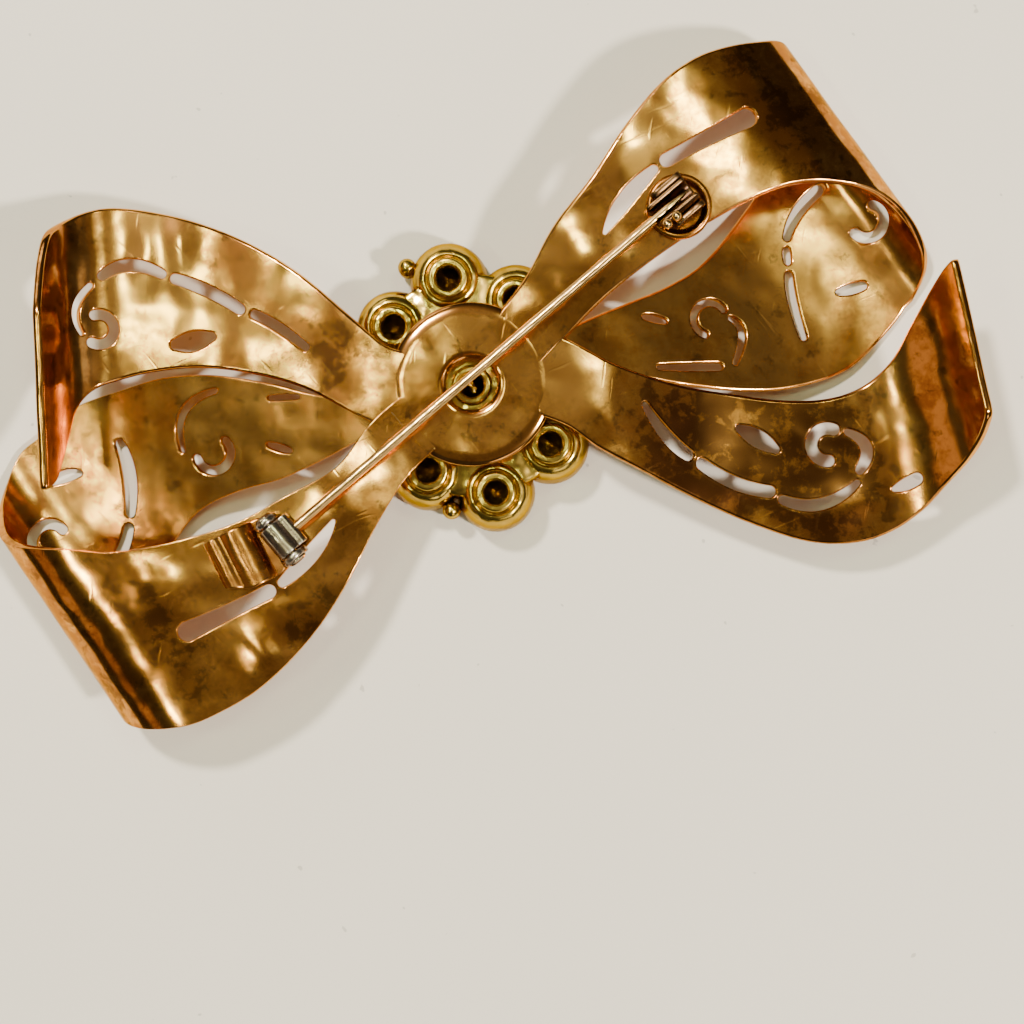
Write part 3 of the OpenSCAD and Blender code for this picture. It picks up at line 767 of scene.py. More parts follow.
def tarnish_and_shade_group() -> bpy.types.NodeTree:
    """Brown clouds and dark spots that years of wear leave on plated metal, denser in browner patches; some
    of those patches are tarnish and others are painted shade.
    """
    group, n, given, out = new_group(
        SharedEffect.TARNISH_AND_SHADE,
        {
            "Clean": ("Color", (0.8, 0.5, 0.2, 1)),
            "Cloud": ("Color", (0.4, 0.2, 0.07, 1)),
            "Spot": ("Color", (0.1, 0.05, 0.02, 1)),
            "Scale": ("Float", 150.0),
            "Cloud Amount": ("Float", 0.5),
            "Spot Amount": ("Float", 0.3),
        },
        {"Colour": "Color", "Mask": "Float"},
    )
    broad_share, fine_share, fine_scale, speckle_scale = 0.55, 0.45, 6.0, 3.2
    clouds_by_stain_and_shade, spots_by_stain_and_shade, stain_and_shade_alone = 0.16, 0.17, 0.25
    scale = given["Scale"]
    where = n.place()
    stain_and_shade = n.carried("stain_and_shade")
    broad = n.noise(where, scale, 5.0, 0.6, 0.6)
    fine = n.noise(where, n.math("MULTIPLY", scale, fine_scale), 4.0, 0.65, 0.3)
    blend = n.math("ADD", n.math("MULTIPLY", broad, broad_share), n.math("MULTIPLY", fine, fine_share))
    # Patch values push the brown clouds and dark spots up; in some patches this paints shade rather than
    # tarnish.
    cloud_and_shade = n.ramp(n.math("ADD", blend, n.math("MULTIPLY", stain_and_shade, clouds_by_stain_and_shade)), 0.4, 0.62)
    cloud_and_shade = n.math("MULTIPLY", cloud_and_shade, given["Cloud Amount"], True)
    speckle = n.noise(where, n.math("MULTIPLY", scale, speckle_scale), 5.0, 0.7, 0.2)
    spots_and_shade = n.ramp(n.math("ADD", speckle, n.math("MULTIPLY", stain_and_shade, spots_by_stain_and_shade)), 0.56, 0.68)
    spots_and_shade = n.math("MULTIPLY", spots_and_shade, given["Spot Amount"])
    spots_and_shade = n.math("ADD", spots_and_shade, n.math("MULTIPLY", stain_and_shade, stain_and_shade_alone, True), True)
    n.feed(out["Colour"], n.mix(spots_and_shade, n.mix(cloud_and_shade, given["Clean"], given["Cloud"]), given["Spot"]))
    n.feed(out["Mask"], n.math("MAXIMUM", cloud_and_shade, spots_and_shade))
    return group


def scratches_group() -> bpy.types.NodeTree:
    """Fine scratches in three directions."""
    group, n, given, out = new_group(
        SharedEffect.SCRATCHES,
        {"Scale": ("Float", 1600.0), "Amount": ("Float", 1.0)},
        {"Height": "Float", "Mask": "Float"},
    )
    where = n.place()
    total = None
    for degrees, stretch in ((25.0, 0.12), (-50.0, 0.09), (80.0, 0.16)):
        spread = n.add("Mapping", vector_type="TEXTURE", Vector=where)
        spread.inputs["Rotation"].default_value = (0.0, 0.0, math.radians(degrees))
        spread.inputs["Scale"].default_value = (1 / stretch, 1.0, 1.0)
        lines = n.ramp(n.noise(spread.outputs[0], given["Scale"], 2.0, 0.6), 0.66, 0.78)
        total = lines if total is None else n.math("MAXIMUM", total, lines)
    total = n.math("MULTIPLY", total, given["Amount"])
    n.feed(out["Height"], n.math("MULTIPLY", total, -1.0))
    n.feed(out["Mask"], total)
    return group


def hand_work_group() -> bpy.types.NodeTree:
    """The slow waves and small dimples of metal that was bent and polished by hand."""
    group, n, given, out = new_group(
        SharedEffect.HAND_WORK,
        {"Scale": ("Float", 120.0), "Waves": ("Float", 1.0), "Dimples": ("Float", 0.2)},
        {"Height": "Float"},
    )
    dimple_scale = 3.5
    where = n.place()
    waves = n.math("MULTIPLY", n.noise(where, given["Scale"], 0.0, 0.4, 0.2), given["Waves"])
    dimples = n.noise(where, n.math("MULTIPLY", given["Scale"], dimple_scale), 0.0, 0.5, 0.2)
    n.feed(out["Height"], n.math("ADD", waves, n.math("MULTIPLY", dimples, given["Dimples"])))
    return group


def rim_wear_and_shade_group() -> bpy.types.NodeTree:
    """Where edges are marked, read from a sheet's rim values and broken up by noise; a lighter edge colour is
    wear, a darker one, as on the bow, is painted shade.
    """
    group, n, given, out = new_group(
        SharedEffect.RIM_WEAR_AND_SHADE,
        {"Width": ("Float", 0.5), "Amount": ("Float", 0.8)},
        {"Mask": "Float"},
    )
    noise_scale, break_up, full = 900.0, 0.5, 1.05
    rim = n.carried("rim")
    rough = n.math("MULTIPLY", n.math("SUBTRACT", n.noise(n.place(), noise_scale), 0.5), break_up)
    level = n.math("SUBTRACT", 1.0, given["Width"])
    mask = n.ramp(n.math("ADD", rim, rough), level, full)
    n.feed(out["Mask"], n.math("MULTIPLY", mask, given["Amount"], True))
    return group


EFFECTS = {
    SharedEffect.TARNISH_AND_SHADE: tarnish_and_shade_group,
    SharedEffect.SCRATCHES: scratches_group,
    SharedEffect.HAND_WORK: hand_work_group,
    SharedEffect.RIM_WEAR_AND_SHADE: rim_wear_and_shade_group,
}


def place_effect(n: NodeTree, effect: SharedEffect, **values: object) -> bpy.types.Node:
    """Places a shared effect in a material with its own values."""
    group = bpy.data.node_groups.get(effect.value) or EFFECTS[effect]()
    node = n.add("Group", node_tree=group)
    for name, value in values.items():
        n.feed(node.inputs[name.replace("_", " ")], value)
    return node


def rgb(colour: Colour) -> tuple[float, float, float, float]:
    """A colour for a socket."""
    return (*colour, 1.0)


class Finish:
    """A finish that makes its material once."""

    name: str

    def material(self) -> bpy.types.Material:
        """The material, made at its first use."""
        found = bpy.data.materials.get(self.name)
        if found:
            return found
        made = bpy.data.materials.new(self.name)
        made.use_nodes = True
        made.node_tree.nodes.clear()
        n = NodeTree(made.node_tree)
        shader = n.add("BsdfPrincipled")
        output = n.add("OutputMaterial")
        n.feed(output.inputs["Surface"], shader.outputs[0])
        self.fill(n, shader)
        return made

    def fill(self, n: NodeTree, shader: bpy.types.Node) -> None:
        """Sets the shader's sockets."""
        raise NotImplementedError


@dataclass(frozen=True)
class WornMetal(Finish):
    """Plated metal with tarnish, scratches, slow waves and marked edges: lighter edges are wear, darker ones
    painted shade.

    Its roughness goes from polish, where it is clean, to dull, where it is tarnished. Where sides is set,
    steep sides are darkened towards the brown tarnish colour: painted shade.
    """

    name: str
    clean: Colour
    cloud_and_shade: Colour
    spot_and_shade: Colour
    # Edge colour: lighter than the clean colour where edges are worn; darker, as on the bow, as painted shade
    # along the edges.
    edge_wear_and_shade: Colour
    tarnish_scale: float = 150.0
    cloud_amount: float = 0.6
    spot_amount: float = 0.35
    polish: float = 0.16
    dull: float = 0.36
    satin_dull: float = 0.15
    waves: float = 1.0
    wave_scale: float = 120.0
    dimples: float = 0.15
    bump: float = 0.25
    bump_depth: float = 0.001
    scratches: float = 0.6
    scratch_scale: float = 1600.0
    scratch_dull: float = 0.08
    scratch_bump: float = 0.25
    scratch_depth: float = 0.00004
    # How strongly steep sides are darkened as painted shade, and the range of upward normal over which it
    # fades in.
    sides: float = 0.0
    steep: tuple[float, float] = (0.15, 0.7)
    edge_tint: Colour = (0.9, 0.72, 0.45)
    rim_width: float = 0.3
    rim_amount: float = 0.3

    def fill(self, n: NodeTree, shader: bpy.types.Node) -> None:
        """Sets the shader's sockets."""
        tarnish = place_effect(
            n, SharedEffect.TARNISH_AND_SHADE, Clean=rgb(self.clean), Cloud=rgb(self.cloud_and_shade), Spot=rgb(self.spot_and_shade),
            Scale=self.tarnish_scale, Cloud_Amount=self.cloud_amount, Spot_Amount=self.spot_amount,
        )
        rim = place_effect(n, SharedEffect.RIM_WEAR_AND_SHADE, Width=self.rim_width, Amount=self.rim_amount)
        lines = place_effect(n, SharedEffect.SCRATCHES, Scale=self.scratch_scale, Amount=self.scratches)
        worked = place_effect(
            n, SharedEffect.HAND_WORK, Scale=self.wave_scale, Waves=self.waves, Dimples=self.dimples
        )
        shader.inputs["Metallic"].default_value = 1.0
        shader.inputs["Specular Tint"].default_value = rgb(self.edge_tint)
        colour = n.mix(rim.outputs["Mask"], tarnish.outputs["Colour"], rgb(self.edge_wear_and_shade))
        # Painted shade: steep sides are mixed towards the brown tarnish colour, more the steeper they stand.
        if self.sides:
            up = n.add("SeparateXYZ", Vector=n.add("NewGeometry").outputs["Normal"]).outputs["Z"]
            steep = n.ramp(n.math("ABSOLUTE", up), *self.steep, self.sides, 0.0)
            colour = n.mix(steep, colour, rgb(self.cloud_and_shade))
        n.feed(shader.inputs["Base Color"], colour)
        dull = n.math("MULTIPLY", tarnish.outputs["Mask"], self.dull - self.polish)
        worn = n.math("MULTIPLY", lines.outputs["Mask"], self.scratch_dull)
        dull = n.math("ADD", dull, n.math("MULTIPLY", n.carried("satin"), self.satin_dull))
        n.feed(shader.inputs["Roughness"], n.math("ADD", n.math("ADD", self.polish, dull), worn, True))
        broad = n.add(
            "Bump", Strength=self.bump, Distance=self.bump_depth, Height=worked.outputs["Height"]
        )
        fine = n.add(
            "Bump", Strength=self.scratch_bump, Distance=self.scratch_depth,
            Height=lines.outputs["Height"], Normal=broad.outputs[0],
        )
        n.feed(shader.inputs["Normal"], fine.outputs[0])


@dataclass(frozen=True)
class CutGlass(Finish):
    """Clear cut glass with faint smudges."""

    name: str
    tint: Colour = (0.97, 0.98, 1.0)
    refraction: float = 1.62
    smudge_scale: float = 900.0
    smudge: float = 0.08

    def fill(self, n: NodeTree, shader: bpy.types.Node) -> None:
        """Sets the shader's sockets."""
        smudge = n.ramp(n.noise(n.place(), self.smudge_scale, 4.0, 0.6), 0.5, 0.75, 0.0, self.smudge)
        shader.inputs["Base Color"].default_value = rgb(self.tint)
        shader.inputs["Transmission Weight"].default_value = 1.0
        shader.inputs["IOR"].default_value = self.refraction
        n.feed(shader.inputs["Roughness"], smudge)


@dataclass(frozen=True)
class TableTop(Finish):
    """The pale table: faintly mottled, with a few tiny specks."""

    name: str
    colour: Colour = (0.83, 0.76, 0.665)
    speck: Colour = (0.35, 0.32, 0.28)
    shade: float = 0.97
    roughness: float = 0.45
    gloss: float = 0.35
    mottle_scale: float = 18.0
    speck_scale: float = 620.0
    grain_scale: float = 2500.0
    grain: float = 0.05
    grain_depth: float = 0.0002

    def fill(self, n: NodeTree, shader: bpy.types.Node) -> None:
        """Sets the shader's sockets."""
        where = n.place()
        tone = n.ramp(n.noise(where, self.mottle_scale, 3.0), 0.3, 0.7)
        specks = n.ramp(n.noise(where, self.speck_scale, 2.0, 0.5), 0.735, 0.76, 0.0, 0.5)
        dark = tuple(self.shade * c for c in self.colour)
        colour = n.mix(specks, n.mix(tone, rgb(self.colour), rgb(dark)), rgb(self.speck))
        n.feed(shader.inputs["Base Color"], colour)
        shader.inputs["Roughness"].default_value = self.roughness
        shader.inputs["Specular IOR Level"].default_value = self.gloss
        grain = n.noise(where, self.grain_scale, 2.0)
        bump = n.add("Bump", Strength=self.grain, Distance=self.grain_depth, Height=grain)
        n.feed(shader.inputs["Normal"], bump.outputs[0])


# The bow's edge colour is darker than its clean colour: painted shade along its cut edges and the outlines of
# its slots.
BOW_METAL = WornMetal(
    "copper_gold_plate",
    clean=(0.93, 0.44, 0.105), cloud_and_shade=(0.42, 0.145, 0.031), spot_and_shade=(0.11, 0.04, 0.014), edge_wear_and_shade=(0.5, 0.22, 0.06),
    tarnish_scale=190.0, cloud_amount=0.85, spot_amount=0.6, polish=0.11, dull=0.155, satin_dull=0.08,
    wave_scale=130.0, dimples=0.4, bump=0.17, scratches=0.35,
)
# The rosette's steep sides are darkened as painted shade.
ROSETTE_METAL = WornMetal(
    "cast_brass",
    clean=(0.68, 0.46, 0.09), cloud_and_shade=(0.34, 0.21, 0.03), spot_and_shade=(0.15, 0.1, 0.03), edge_wear_and_shade=(0.95, 0.75, 0.3),
    cloud_amount=0.5, waves=0.4, wave_scale=300.0, dimples=0.5, sides=0.75, edge_tint=(0.75, 0.55, 0.2),
)
FITTING_METAL = WornMetal(
    "darkened_gold_plate",
    clean=(0.48, 0.19, 0.042), cloud_and_shade=(0.2, 0.072, 0.018), spot_and_shade=(0.07, 0.03, 0.015), edge_wear_and_shade=(0.66, 0.34, 0.1),
    cloud_amount=0.8, polish=0.22, waves=0.4, wave_scale=300.0,
)
# Nearly black: painted shade for the opening of the catch, laid on its housing and its sleeve.
CATCH_SHADE_METAL = WornMetal(
    "shade_darkened_gold_plate",
    clean=(0.06, 0.028, 0.013), cloud_and_shade=(0.07, 0.035, 0.02), spot_and_shade=(0.03, 0.02, 0.015), edge_wear_and_shade=(0.36, 0.2, 0.08),
    cloud_amount=0.8, polish=0.25, waves=0.4, wave_scale=300.0,
)
PIN_METAL = WornMetal(
    "pin_gold_plate",
    clean=(0.66, 0.41, 0.15), cloud_and_shade=(0.55, 0.33, 0.14), spot_and_shade=(0.2, 0.12, 0.06), edge_wear_and_shade=(0.9, 0.7, 0.4),
    cloud_amount=0.4, waves=0.3, wave_scale=300.0,
)
STEEL = WornMetal(
    "hinge_steel",
    clean=(0.42, 0.34, 0.26), cloud_and_shade=(0.2, 0.13, 0.08), spot_and_shade=(0.1, 0.055, 0.035), edge_wear_and_shade=(0.76, 0.69, 0.6),
    polish=0.18, waves=0.3, wave_scale=400.0,
)
FOIL = WornMetal(
    "stone_foil",
    clean=(0.75, 0.74, 0.72), cloud_and_shade=(0.5, 0.45, 0.4), spot_and_shade=(0.2, 0.16, 0.12), edge_wear_and_shade=(0.8, 0.8, 0.8),
    cloud_amount=0.25, polish=0.08, waves=0.0,
)
GLASS = CutGlass("cut_glass")
TABLE = TableTop("pale_table_top")


def climb_turn(rise: float, run: float) -> float:
    """Turn in degrees of each of two equal bends that together rise this much."""
    return math.degrees(2 * math.atan(rise / run))


def bend_run(length: float, degrees: float) -> float:
    """Run along a bend that takes up a length of the plan."""
    return length * math.radians(degrees) / math.sin(math.radians(degrees))


@dataclass
class LoopForm:
    """The bends of a loop: flat, climb, back layer, roll, and the front layer up to the plate.

    Where it has a lead, the back layer turns by the lead's degrees before the roll. Its rows then
    keep the run of a loop with a plain roll, and give the true length beside it.
    """

    reach: float
    front_bend_r: float = 36.0
    flat: float = 6.4
    climb: float = 4.6
    front_end: float = 5.0
    lead: float = 0.0
    lead_reach: float = 9.3
    hidden: float = 0.1

    @property
    def side(self) -> float:
        """Reach of the roll's middle line."""
        return self.reach - SHEET_T / 2

    @property
    def roll_r(self) -> float:
        """Radius of the roll's middle line."""
        return (LOOP_Z - SHEET_T / 2) / 2

    def front_rise(self, turn: float) -> float:
        """Rise of the front layer's straight part, after a bend by this many radians."""
        return PLATE_Z - SHEET_T / 2 - self.front_bend_r * (1 - math.cos(turn))

    def front_turn(self) -> float:
        """Turn of the front layer that brings its end under the plate, found by halving."""
        low, high = 12.0, 24.0
        for _ in range(14):
            mid = (low + high) / 2
            a = math.radians(mid)
            end = self.side - self.roll_r - self.front_bend_r * math.sin(a) - self.front_rise(a) / math.tan(a)
            low, high = (low, mid) if end > self.front_end else (mid, high)
        return (low + high) / 2

    def roll(self) -> list[Row]:
        """Rows of the back layer beyond the climb and of the roll."""
        back_end = self.side - self.roll_r
        level = self.flat + 2 * self.climb
        if not self.lead:
            return [(back_end - level, 0.0), (math.pi * self.roll_r, -180.0)]
        a = math.radians(self.lead)
        lead_r = self.lead_reach / math.sin(a)
        roll_r = (LOOP_Z - lead_r * (1 - math.cos(a)) - SHEET_T / 2) / (1 + math.cos(a))
        lead_start = self.side - roll_r * (1 - math.sin(a)) - self.lead_reach
        lengths = (lead_r * a, roll_r * (math.pi - a))
        run = back_end - lead_start + math.pi * self.roll_r - self.hidden
        spread = run / sum(lengths)
        gap = lead_start + self.lead_reach - roll_r * math.sin(a) - back_end
        return [
            (lead_start - level, 0.0),
            (lengths[0] * spread, -self.lead, lengths[0]),
            (lengths[1] * spread, self.lead - 180.0, lengths[1]),
            (self.hidden, 0.0, gap),
        ]

    def bends(self) -> tuple[Row, ...]:
        """Rows of run and turn, and of the true length where a row is stretched."""
        a = climb_turn(LOOP_Z - PLATE_Z, 2 * self.climb)
        climb_run = bend_run(self.climb, a)
        turn = self.front_turn()
        b = math.radians(turn)
        ways = [(self.flat, 0.0), (climb_run, a), (climb_run, -a), *self.roll()]
        return (*ways, (self.front_bend_r * b, -turn), (self.front_rise(b) / math.sin(b), 0.0))


@dataclass
class TailForm:
    """The bends of a tail: flat, sink, level, curl and lip."""

    drop: float
    level: float
    curl_r: float
    curl: float
    lip: float = 0.0
    sink: float = 6.6
    flat: float = 7.0

    def bends(self) -> tuple[Row, ...]:
        """Rows of run and turn."""
        a = climb_turn(self.drop, 2 * self.sink)
        sink_run = bend_run(self.sink, a)
        rows = [(self.flat, 0.0), (sink_run, -a), (sink_run, a), (self.level, 0.0)]
        rows.append((self.curl_r * math.radians(self.curl), self.curl))
        return tuple(rows + ([(self.lip, 0.0)] if self.lip else []))


@dataclass
class Layer:
    """A layer of a strip, between two runs, and what is pierced in it."""

    cut: list[Cut]
    first: float = 2.0
    last: float = 60.0
    shift: tuple[float, float] = (0.0, 0.0)


@dataclass
class Strip:
    """A loop or a tail of the bow.

    Its sections are rows of a run and the places of the strip's two edges across it.
    """

    angle: float
    bends: tuple[Row, ...]
    sections: tuple[Row, ...]
    layers: list[Layer]
    dents: tuple[Patch, ...]
    stains_and_shade: tuple[Patch, ...]
    soften: float = 1.3
    wave: float = 0.012
    rim_reach: float = 0.25
    satin: tuple[float, float] = (0.25, 0.0)
    pins: tuple[float, ...] = ()

    def outline(self, step: float = 0.2) -> np.ndarray:
        """Outline of the flat strip, smooth through its sections."""
        rows = np.array(self.sections)
        last = min(rows[-1, 0], sum(row[0] for row in self.bends))
        s = np.arange(rows[0, 0], last, step)
        s = np.append(s[s < last - step / 2], last)
        low, high = smooth_column(rows, 1, s), smooth_column(rows, 2, s)
        return np.vstack([np.stack([s, low], axis=1), np.stack([s, high], axis=1)[::-1]])

    def sheet(self) -> Sheet:
        """The strip as a bent sheet with its openings."""
        sheet = Sheet(
            outline=self.outline(), bends=self.bends, start=(0.0, PLATE_Z), place=turned(self.angle),
            soften=self.soften, pins=self.pins, dents=self.dents, stains_and_shade=self.stains_and_shade, wave=self.wave,
            rim=RimForm(reach=self.rim_reach), satin=self.satin, floor=0.0,
        )
        way = sheet.path()
        for layer in self.layers:
            on = (way.runs >= layer.first) & (way.runs <= layer.last)
            runs, places = way.runs[on], way.along[on]
            order = np.argsort(places)
            for opening in layer.cut:
                plan = opening.outline() + np.array([layer.shift])
                run = np.interp(plan[:, 0], places[order], runs[order])
                sheet.holes.append(np.stack([run, plan[:, 1]], axis=1))
        return sheet


@dataclass
class Bow:
    """The stamped and pierced bow: a centre plate, two loops and two tails."""

    plate_r: float = 6.25
    plate_hole_r: float = 1.95
    plate_extra_t: float = 0.04
    finish: WornMetal = BOW_METAL

    back_slots: tuple[Row, ...] = (
        (21.9, 5, 25, 4.6, 28.7, 4.05, 1.05, 1.1, 1.5),
        (14.9, 3.3, 17.6, 4.4, 20.7, 5, 0.3, 1.2, 0.7),
    )

    def right_loop(self) -> Strip:
        """The loop that carries the catch."""
        sections = (
            (4.5, -2, 3.1), (8.2, -1.3, 4.2), (12, -0.7, 6), (16.5, -0.5, 7.3), (21, -0.65, 9),
            (25, -1.1, 10), (28.5, -1.9, 10.05), (31.2, -3.3, 9.4), (34.2, -5.9, 8.2), (37, -9.7, 7.2),
            (39.2, -12.8, 6), (42.6, -14.8, 3.4), (45.6, -15.7, 0), (49.4, -16.1, -1.6), (54, -14.7, -2.75),
            (57.5, -12.6, -2.6), (60.8, -9.9, -1.9), (64, -6.9, -1.2), (69.4, -2.6, -0.2),
        )
        front = openings(
            (
                (13.8, -3.5, 14.3, -4, 14.9, -4.7, 0.4, 0.6, 0.4),
                (12.4, -7.3, 14.4, -8.7, 16.3, -10, 0.4, 0.6, 0.6),
                (19.3, -7.5, 19.3, -9, 17.5, -10.5, 0.4, 0.6, 0.4),
                (31, -3.4, 28.7, -3.85, 26.85, -4.95, 0.9, 0.9, 0.6),
                (26.2, -5.75, 25.95, -6.15, 25.75, -6.5, 0.6, 0.65, 0.6),
                (25.2, -7.4, 24.2, -9.25, 23.2, -12, 0.65, 0.75, 0.6),
                (27.6, -10.8, 28.5, -11.15, 29.5, -11.5, 0.5, 0.85, 0.7),
            ),
            ((17.95, -6.6, 1.3, 215, 0, 0.55), (32.7, -7.6, 1.3, 35, -172, 0.8)),
        )
        dents = patches((18.8, 7.5, 3.0, 2.2, 0.16), (12.0, 2.2, 3.4, 2.2, 0.16))
        # Browner and cleaner patches: the one at run 37 darkens the outer side of the roll as painted shade;
        # the others darken or clean the metal at given places.
        stains_and_shade = patches(
            (31.5, 3.0, 2.6, 9.0, 0.7), (37.0, 2.0, 2.5, 12.0, 0.5), (21.0, 7.3, 4.0, 4.0, -0.6)
        )
        return self.loop(36.0, LoopForm(reach=35.15, lead=18.0), sections, front, dents, stains_and_shade)

    def left_loop(self) -> Strip:
        """The loop that carries the hinge."""
        sections = (
            (4.7, -2.3, 2.5), (8.2, -1.8, 3.2), (12, -0.5, 4.9), (16.5, -0.8, 7.4), (21, -1.3, 9.2),
            (26, -2.9, 10.2), (30, -4.8, 10), (32.8, -7, 9.3), (38.5, -11, 6), (44.2, -15.4, 2.4),
            (47, -15.8, -0.6), (50.5, -16.1, -2.8), (54, -15.2, -3.9), (57.7, -14, -3.4),
            (61.1, -12, -2.3), (64.5, -9, -1.7), (67.8, -5.6, -1.3), (72.6, -2.6, -0.2),
        )
        front = openings(
            (
                (14.4, -3.7, 14.9, -4.3, 15.5, -5, 0.4, 0.6, 0.4),
                (11.5, -6.7, 12.5, -7.35, 13.4, -7.9, 0.35, 0.5, 0.4),
                (16.6, -10.8, 19.6, -10.9, 21.4, -8.5, 0.4, 0.6, 0.4),
                (25.3, -11.8, 26.1, -9.3, 27.7, -6.9, 0.8, 1.1, 0.8),
                (28.5, -5.95, 30.3, -4.6, 32.4, -4, 0.8, 0.9, 0.8),
                (29.3, -11.7, 30.3, -12.1, 31.4, -12.3, 0.5, 0.95, 0.6),
            ),
            ((19.5, -6.95, 1.35, 190, -15, 0.7), (34.2, -8.6, 1.3, 35, -172, 0.8)),
        )
        dents = patches(
            (24.6, 8.2, 1.3, 2.4, 0.22), (29.0, -1.5, 1.6, 2.6, 0.16), (12.0, 2.2, 3.4, 2.2, 0.16)
        )
        # Browner and cleaner patches: the one at run 37 darkens the outer side of the roll, and the one at
        # run 48 lays a dark band across the front layer, both painted shade; the others are tarnish and,
        # below 0, a cleaner place.
        stains_and_shade = patches(
            (30.0, 1.3, 2.8, 6.5, 0.65), (20.6, 7.6, 2.6, 2.0, 0.6), (25.7, 0.3, 2.2, 2.5, -0.8),
            (37.0, 2.0, 2.5, 12.0, 0.6), (48.0, -5.0, 4.5, 1.8, 1.0),
        )
        return self.loop(214.0, LoopForm(reach=36.7), sections, front, dents, stains_and_shade, (-0.4, -0.5))

    def loop(
        self, angle: float, form: LoopForm, sections: tuple[Row, ...], front: list[Cut],
        dents: tuple[Patch, ...], stains_and_shade: tuple[Patch, ...], shift: tuple[float, float] = (0.0, 0.0),
    ) -> Strip:
        """A loop with its back and front layers.

        Args:
            angle: Its direction from the plate, in degrees.
            form: Its bends.
            sections: Its sections.
            front: What is pierced in the front layer.
            dents: Its dents.
            stains_and_shade: Its browner and cleaner patches, some tarnish and some painted shade.
            shift: How far the back layer's slots stand from their usual places.

        Returns:
            The strip.
        """
        gap = 0.3
        bends = form.bends()
        runs, turns = (np.cumsum([0.0] + [row[k] for row in bends]) for k in (0, 1))
        side = float(np.interp(90.0, -turns[4:-2], runs[4:-2]))
        back = Layer(openings(self.back_slots), last=side - gap, shift=shift)
        layers = [back, Layer(front, first=side + gap, last=float(runs[-1]))]
        pins = (float(runs[4]), float(runs[-3]))
        return Strip(angle, bends, sections, layers, dents, stains_and_shade, satin=(0.0, 1.0), pins=pins)

    def right_tail(self) -> Strip:
        """The tail with the broad curl."""
        sections = (
            (4.4, -3.4, 2.6), (6.5, -4.8, 2.5), (8.2, -6.7, 1.5), (10.9, -9, -0.8), (15.2, -12.5, -3.3),
            (19.4, -15.5, -5), (23, -17.5, -6.3), (26.5, -18.3, -7), (29.4, -18, -6.7),
            (32, -16.9, -5.3), (34.2, -15.4, -3), (36.4, -14, -0.9), (38.4, -12.5, 0.5), (40, -10.9, 1.1),
        )
        cut = openings(
            (
                (12.56, -4.43, 13.6, -7, 14.95, -8.87, 0.5, 0.95, 0.9),
                (15.85, -9.78, 17.99, -11.75, 20.52, -13, 0.9, 1, 0.9),
                (21.37, -13.84, 24.2, -14.8, 27.23, -13.82, 0.7, 0.9, 0.5),
                (19.3, -7.75, 20.5, -8.8, 21.7, -9.95, 0.6, 1.35, 0.6),
                (27.35, -9.85, 28.5, -11.3, 27.66, -12.9, 0.5, 0.9, 0.7),
                (29.9, -14.9, 30.8, -14.75, 31.7, -14.5, 0.4, 0.9, 0.9),
            ),
            ((25.65, -10.45, 1.25, 262, 55, 0.9),),
        )
        bends = TailForm(drop=1.9, level=8.7, curl_r=9.0, curl=70.0).bends()
        dents = patches(
            (9.5, -3.5, 1.8, 3.0, 0.14), (18.0, -11.0, 2.4, 2.2, 0.14), (25.5, -15.6, 2.6, 1.6, 0.14)
        )
        # Two broad patches make the middle of the tail browner, and one near the plate makes it cleaner.
        stains_and_shade = patches(
            (16.0, -7.5, 5.0, 7.0, 1.4), (25.0, -12.0, 5.0, 8.0, 1.2), (6.0, -1.5, 2.5, 2.5, -0.6)
        )
        return Strip(12.7, bends, sections, [Layer(cut)], dents, stains_and_shade)

    def left_tail(self) -> Strip:
        """The tail whose end stands up in a lip."""
        sections = (
            (4.6, -2.6, 3.4), (6.5, -3.3, 3.2), (8.5, -5.1, 2.2), (12.7, -8.9, -0.2), (16.6, -11.5, -1.5),
            (20.5, -13.3, -2.2), (24.4, -14.4, -2.1), (27.5, -14.8, -1.5), (29.4, -14.5, -0.8),
            (30.9, -13.9, 0.7), (31.8, -13.5, 2.9), (33.5, -12.5, 5.8), (34.6, -10.6, 6.4), (36, -6.7, 6.8),
        )
        cut = openings(
            (
                (12.5, -3.4, 14.4, -4.95, 16.4, -6.15, 0.6, 0.75, 0.7),
                (17.5, -6.6, 19.9, -8.1, 22.4, -9.15, 0.85, 0.9, 0.8),
                (23.4, -9.55, 25.9, -10.35, 28, -9.6, 0.7, 0.95, 0.7),
                (19.8, -4.6, 21.2, -4.3, 22.6, -4.1, 0.7, 1.5, 0.8),
                (29.7, -5.2, 30.05, -7.1, 28.9, -8.9, 0.3, 0.5, 0.4),
            ),
            ((28.4, -5.5, 1.15, -75, -300, 0.75),),
        )
        bends = TailForm(drop=1.7, level=7.4, curl_r=4.2, curl=80.0, lip=2.5).bends()
        dents = patches(
            (22.2, -11.5, 1.0, 2.4, 0.12), (25.0, -11.0, 1.1, 2.8, 0.13), (14.5, -3.5, 2.4, 2.0, 0.14)
        )
        # Browner and cleaner patches: the one at run 34.5 darkens the curl's end and the lip over their whole
        # width as painted shade; the others darken or clean the metal at given places.
        stains_and_shade = patches(
            (10.5, -3.0, 3.2, 5.0, 0.8), (18.8, -10.8, 2.2, 2.4, 0.8), (23.1, -7.2, 4.0, 6.0, -0.8),
            (34.5, -4.0, 3.0, 14.0, 0.3),
        )
        return Strip(182.5, bends, sections, [Layer(cut)], dents, stains_and_shade)

    def plate(self) -> Sheet:
        """The round centre plate with its hole."""
        return Sheet(
            outline=circle(self.plate_r), holes=[circle(self.plate_hole_r)], bends=((2 * self.plate_r, 0.0),),
            thickness=SHEET_T + self.plate_extra_t, start=(0.0, PLATE_Z), corner=0.0, rim=RimForm(reach=1.1),
        )

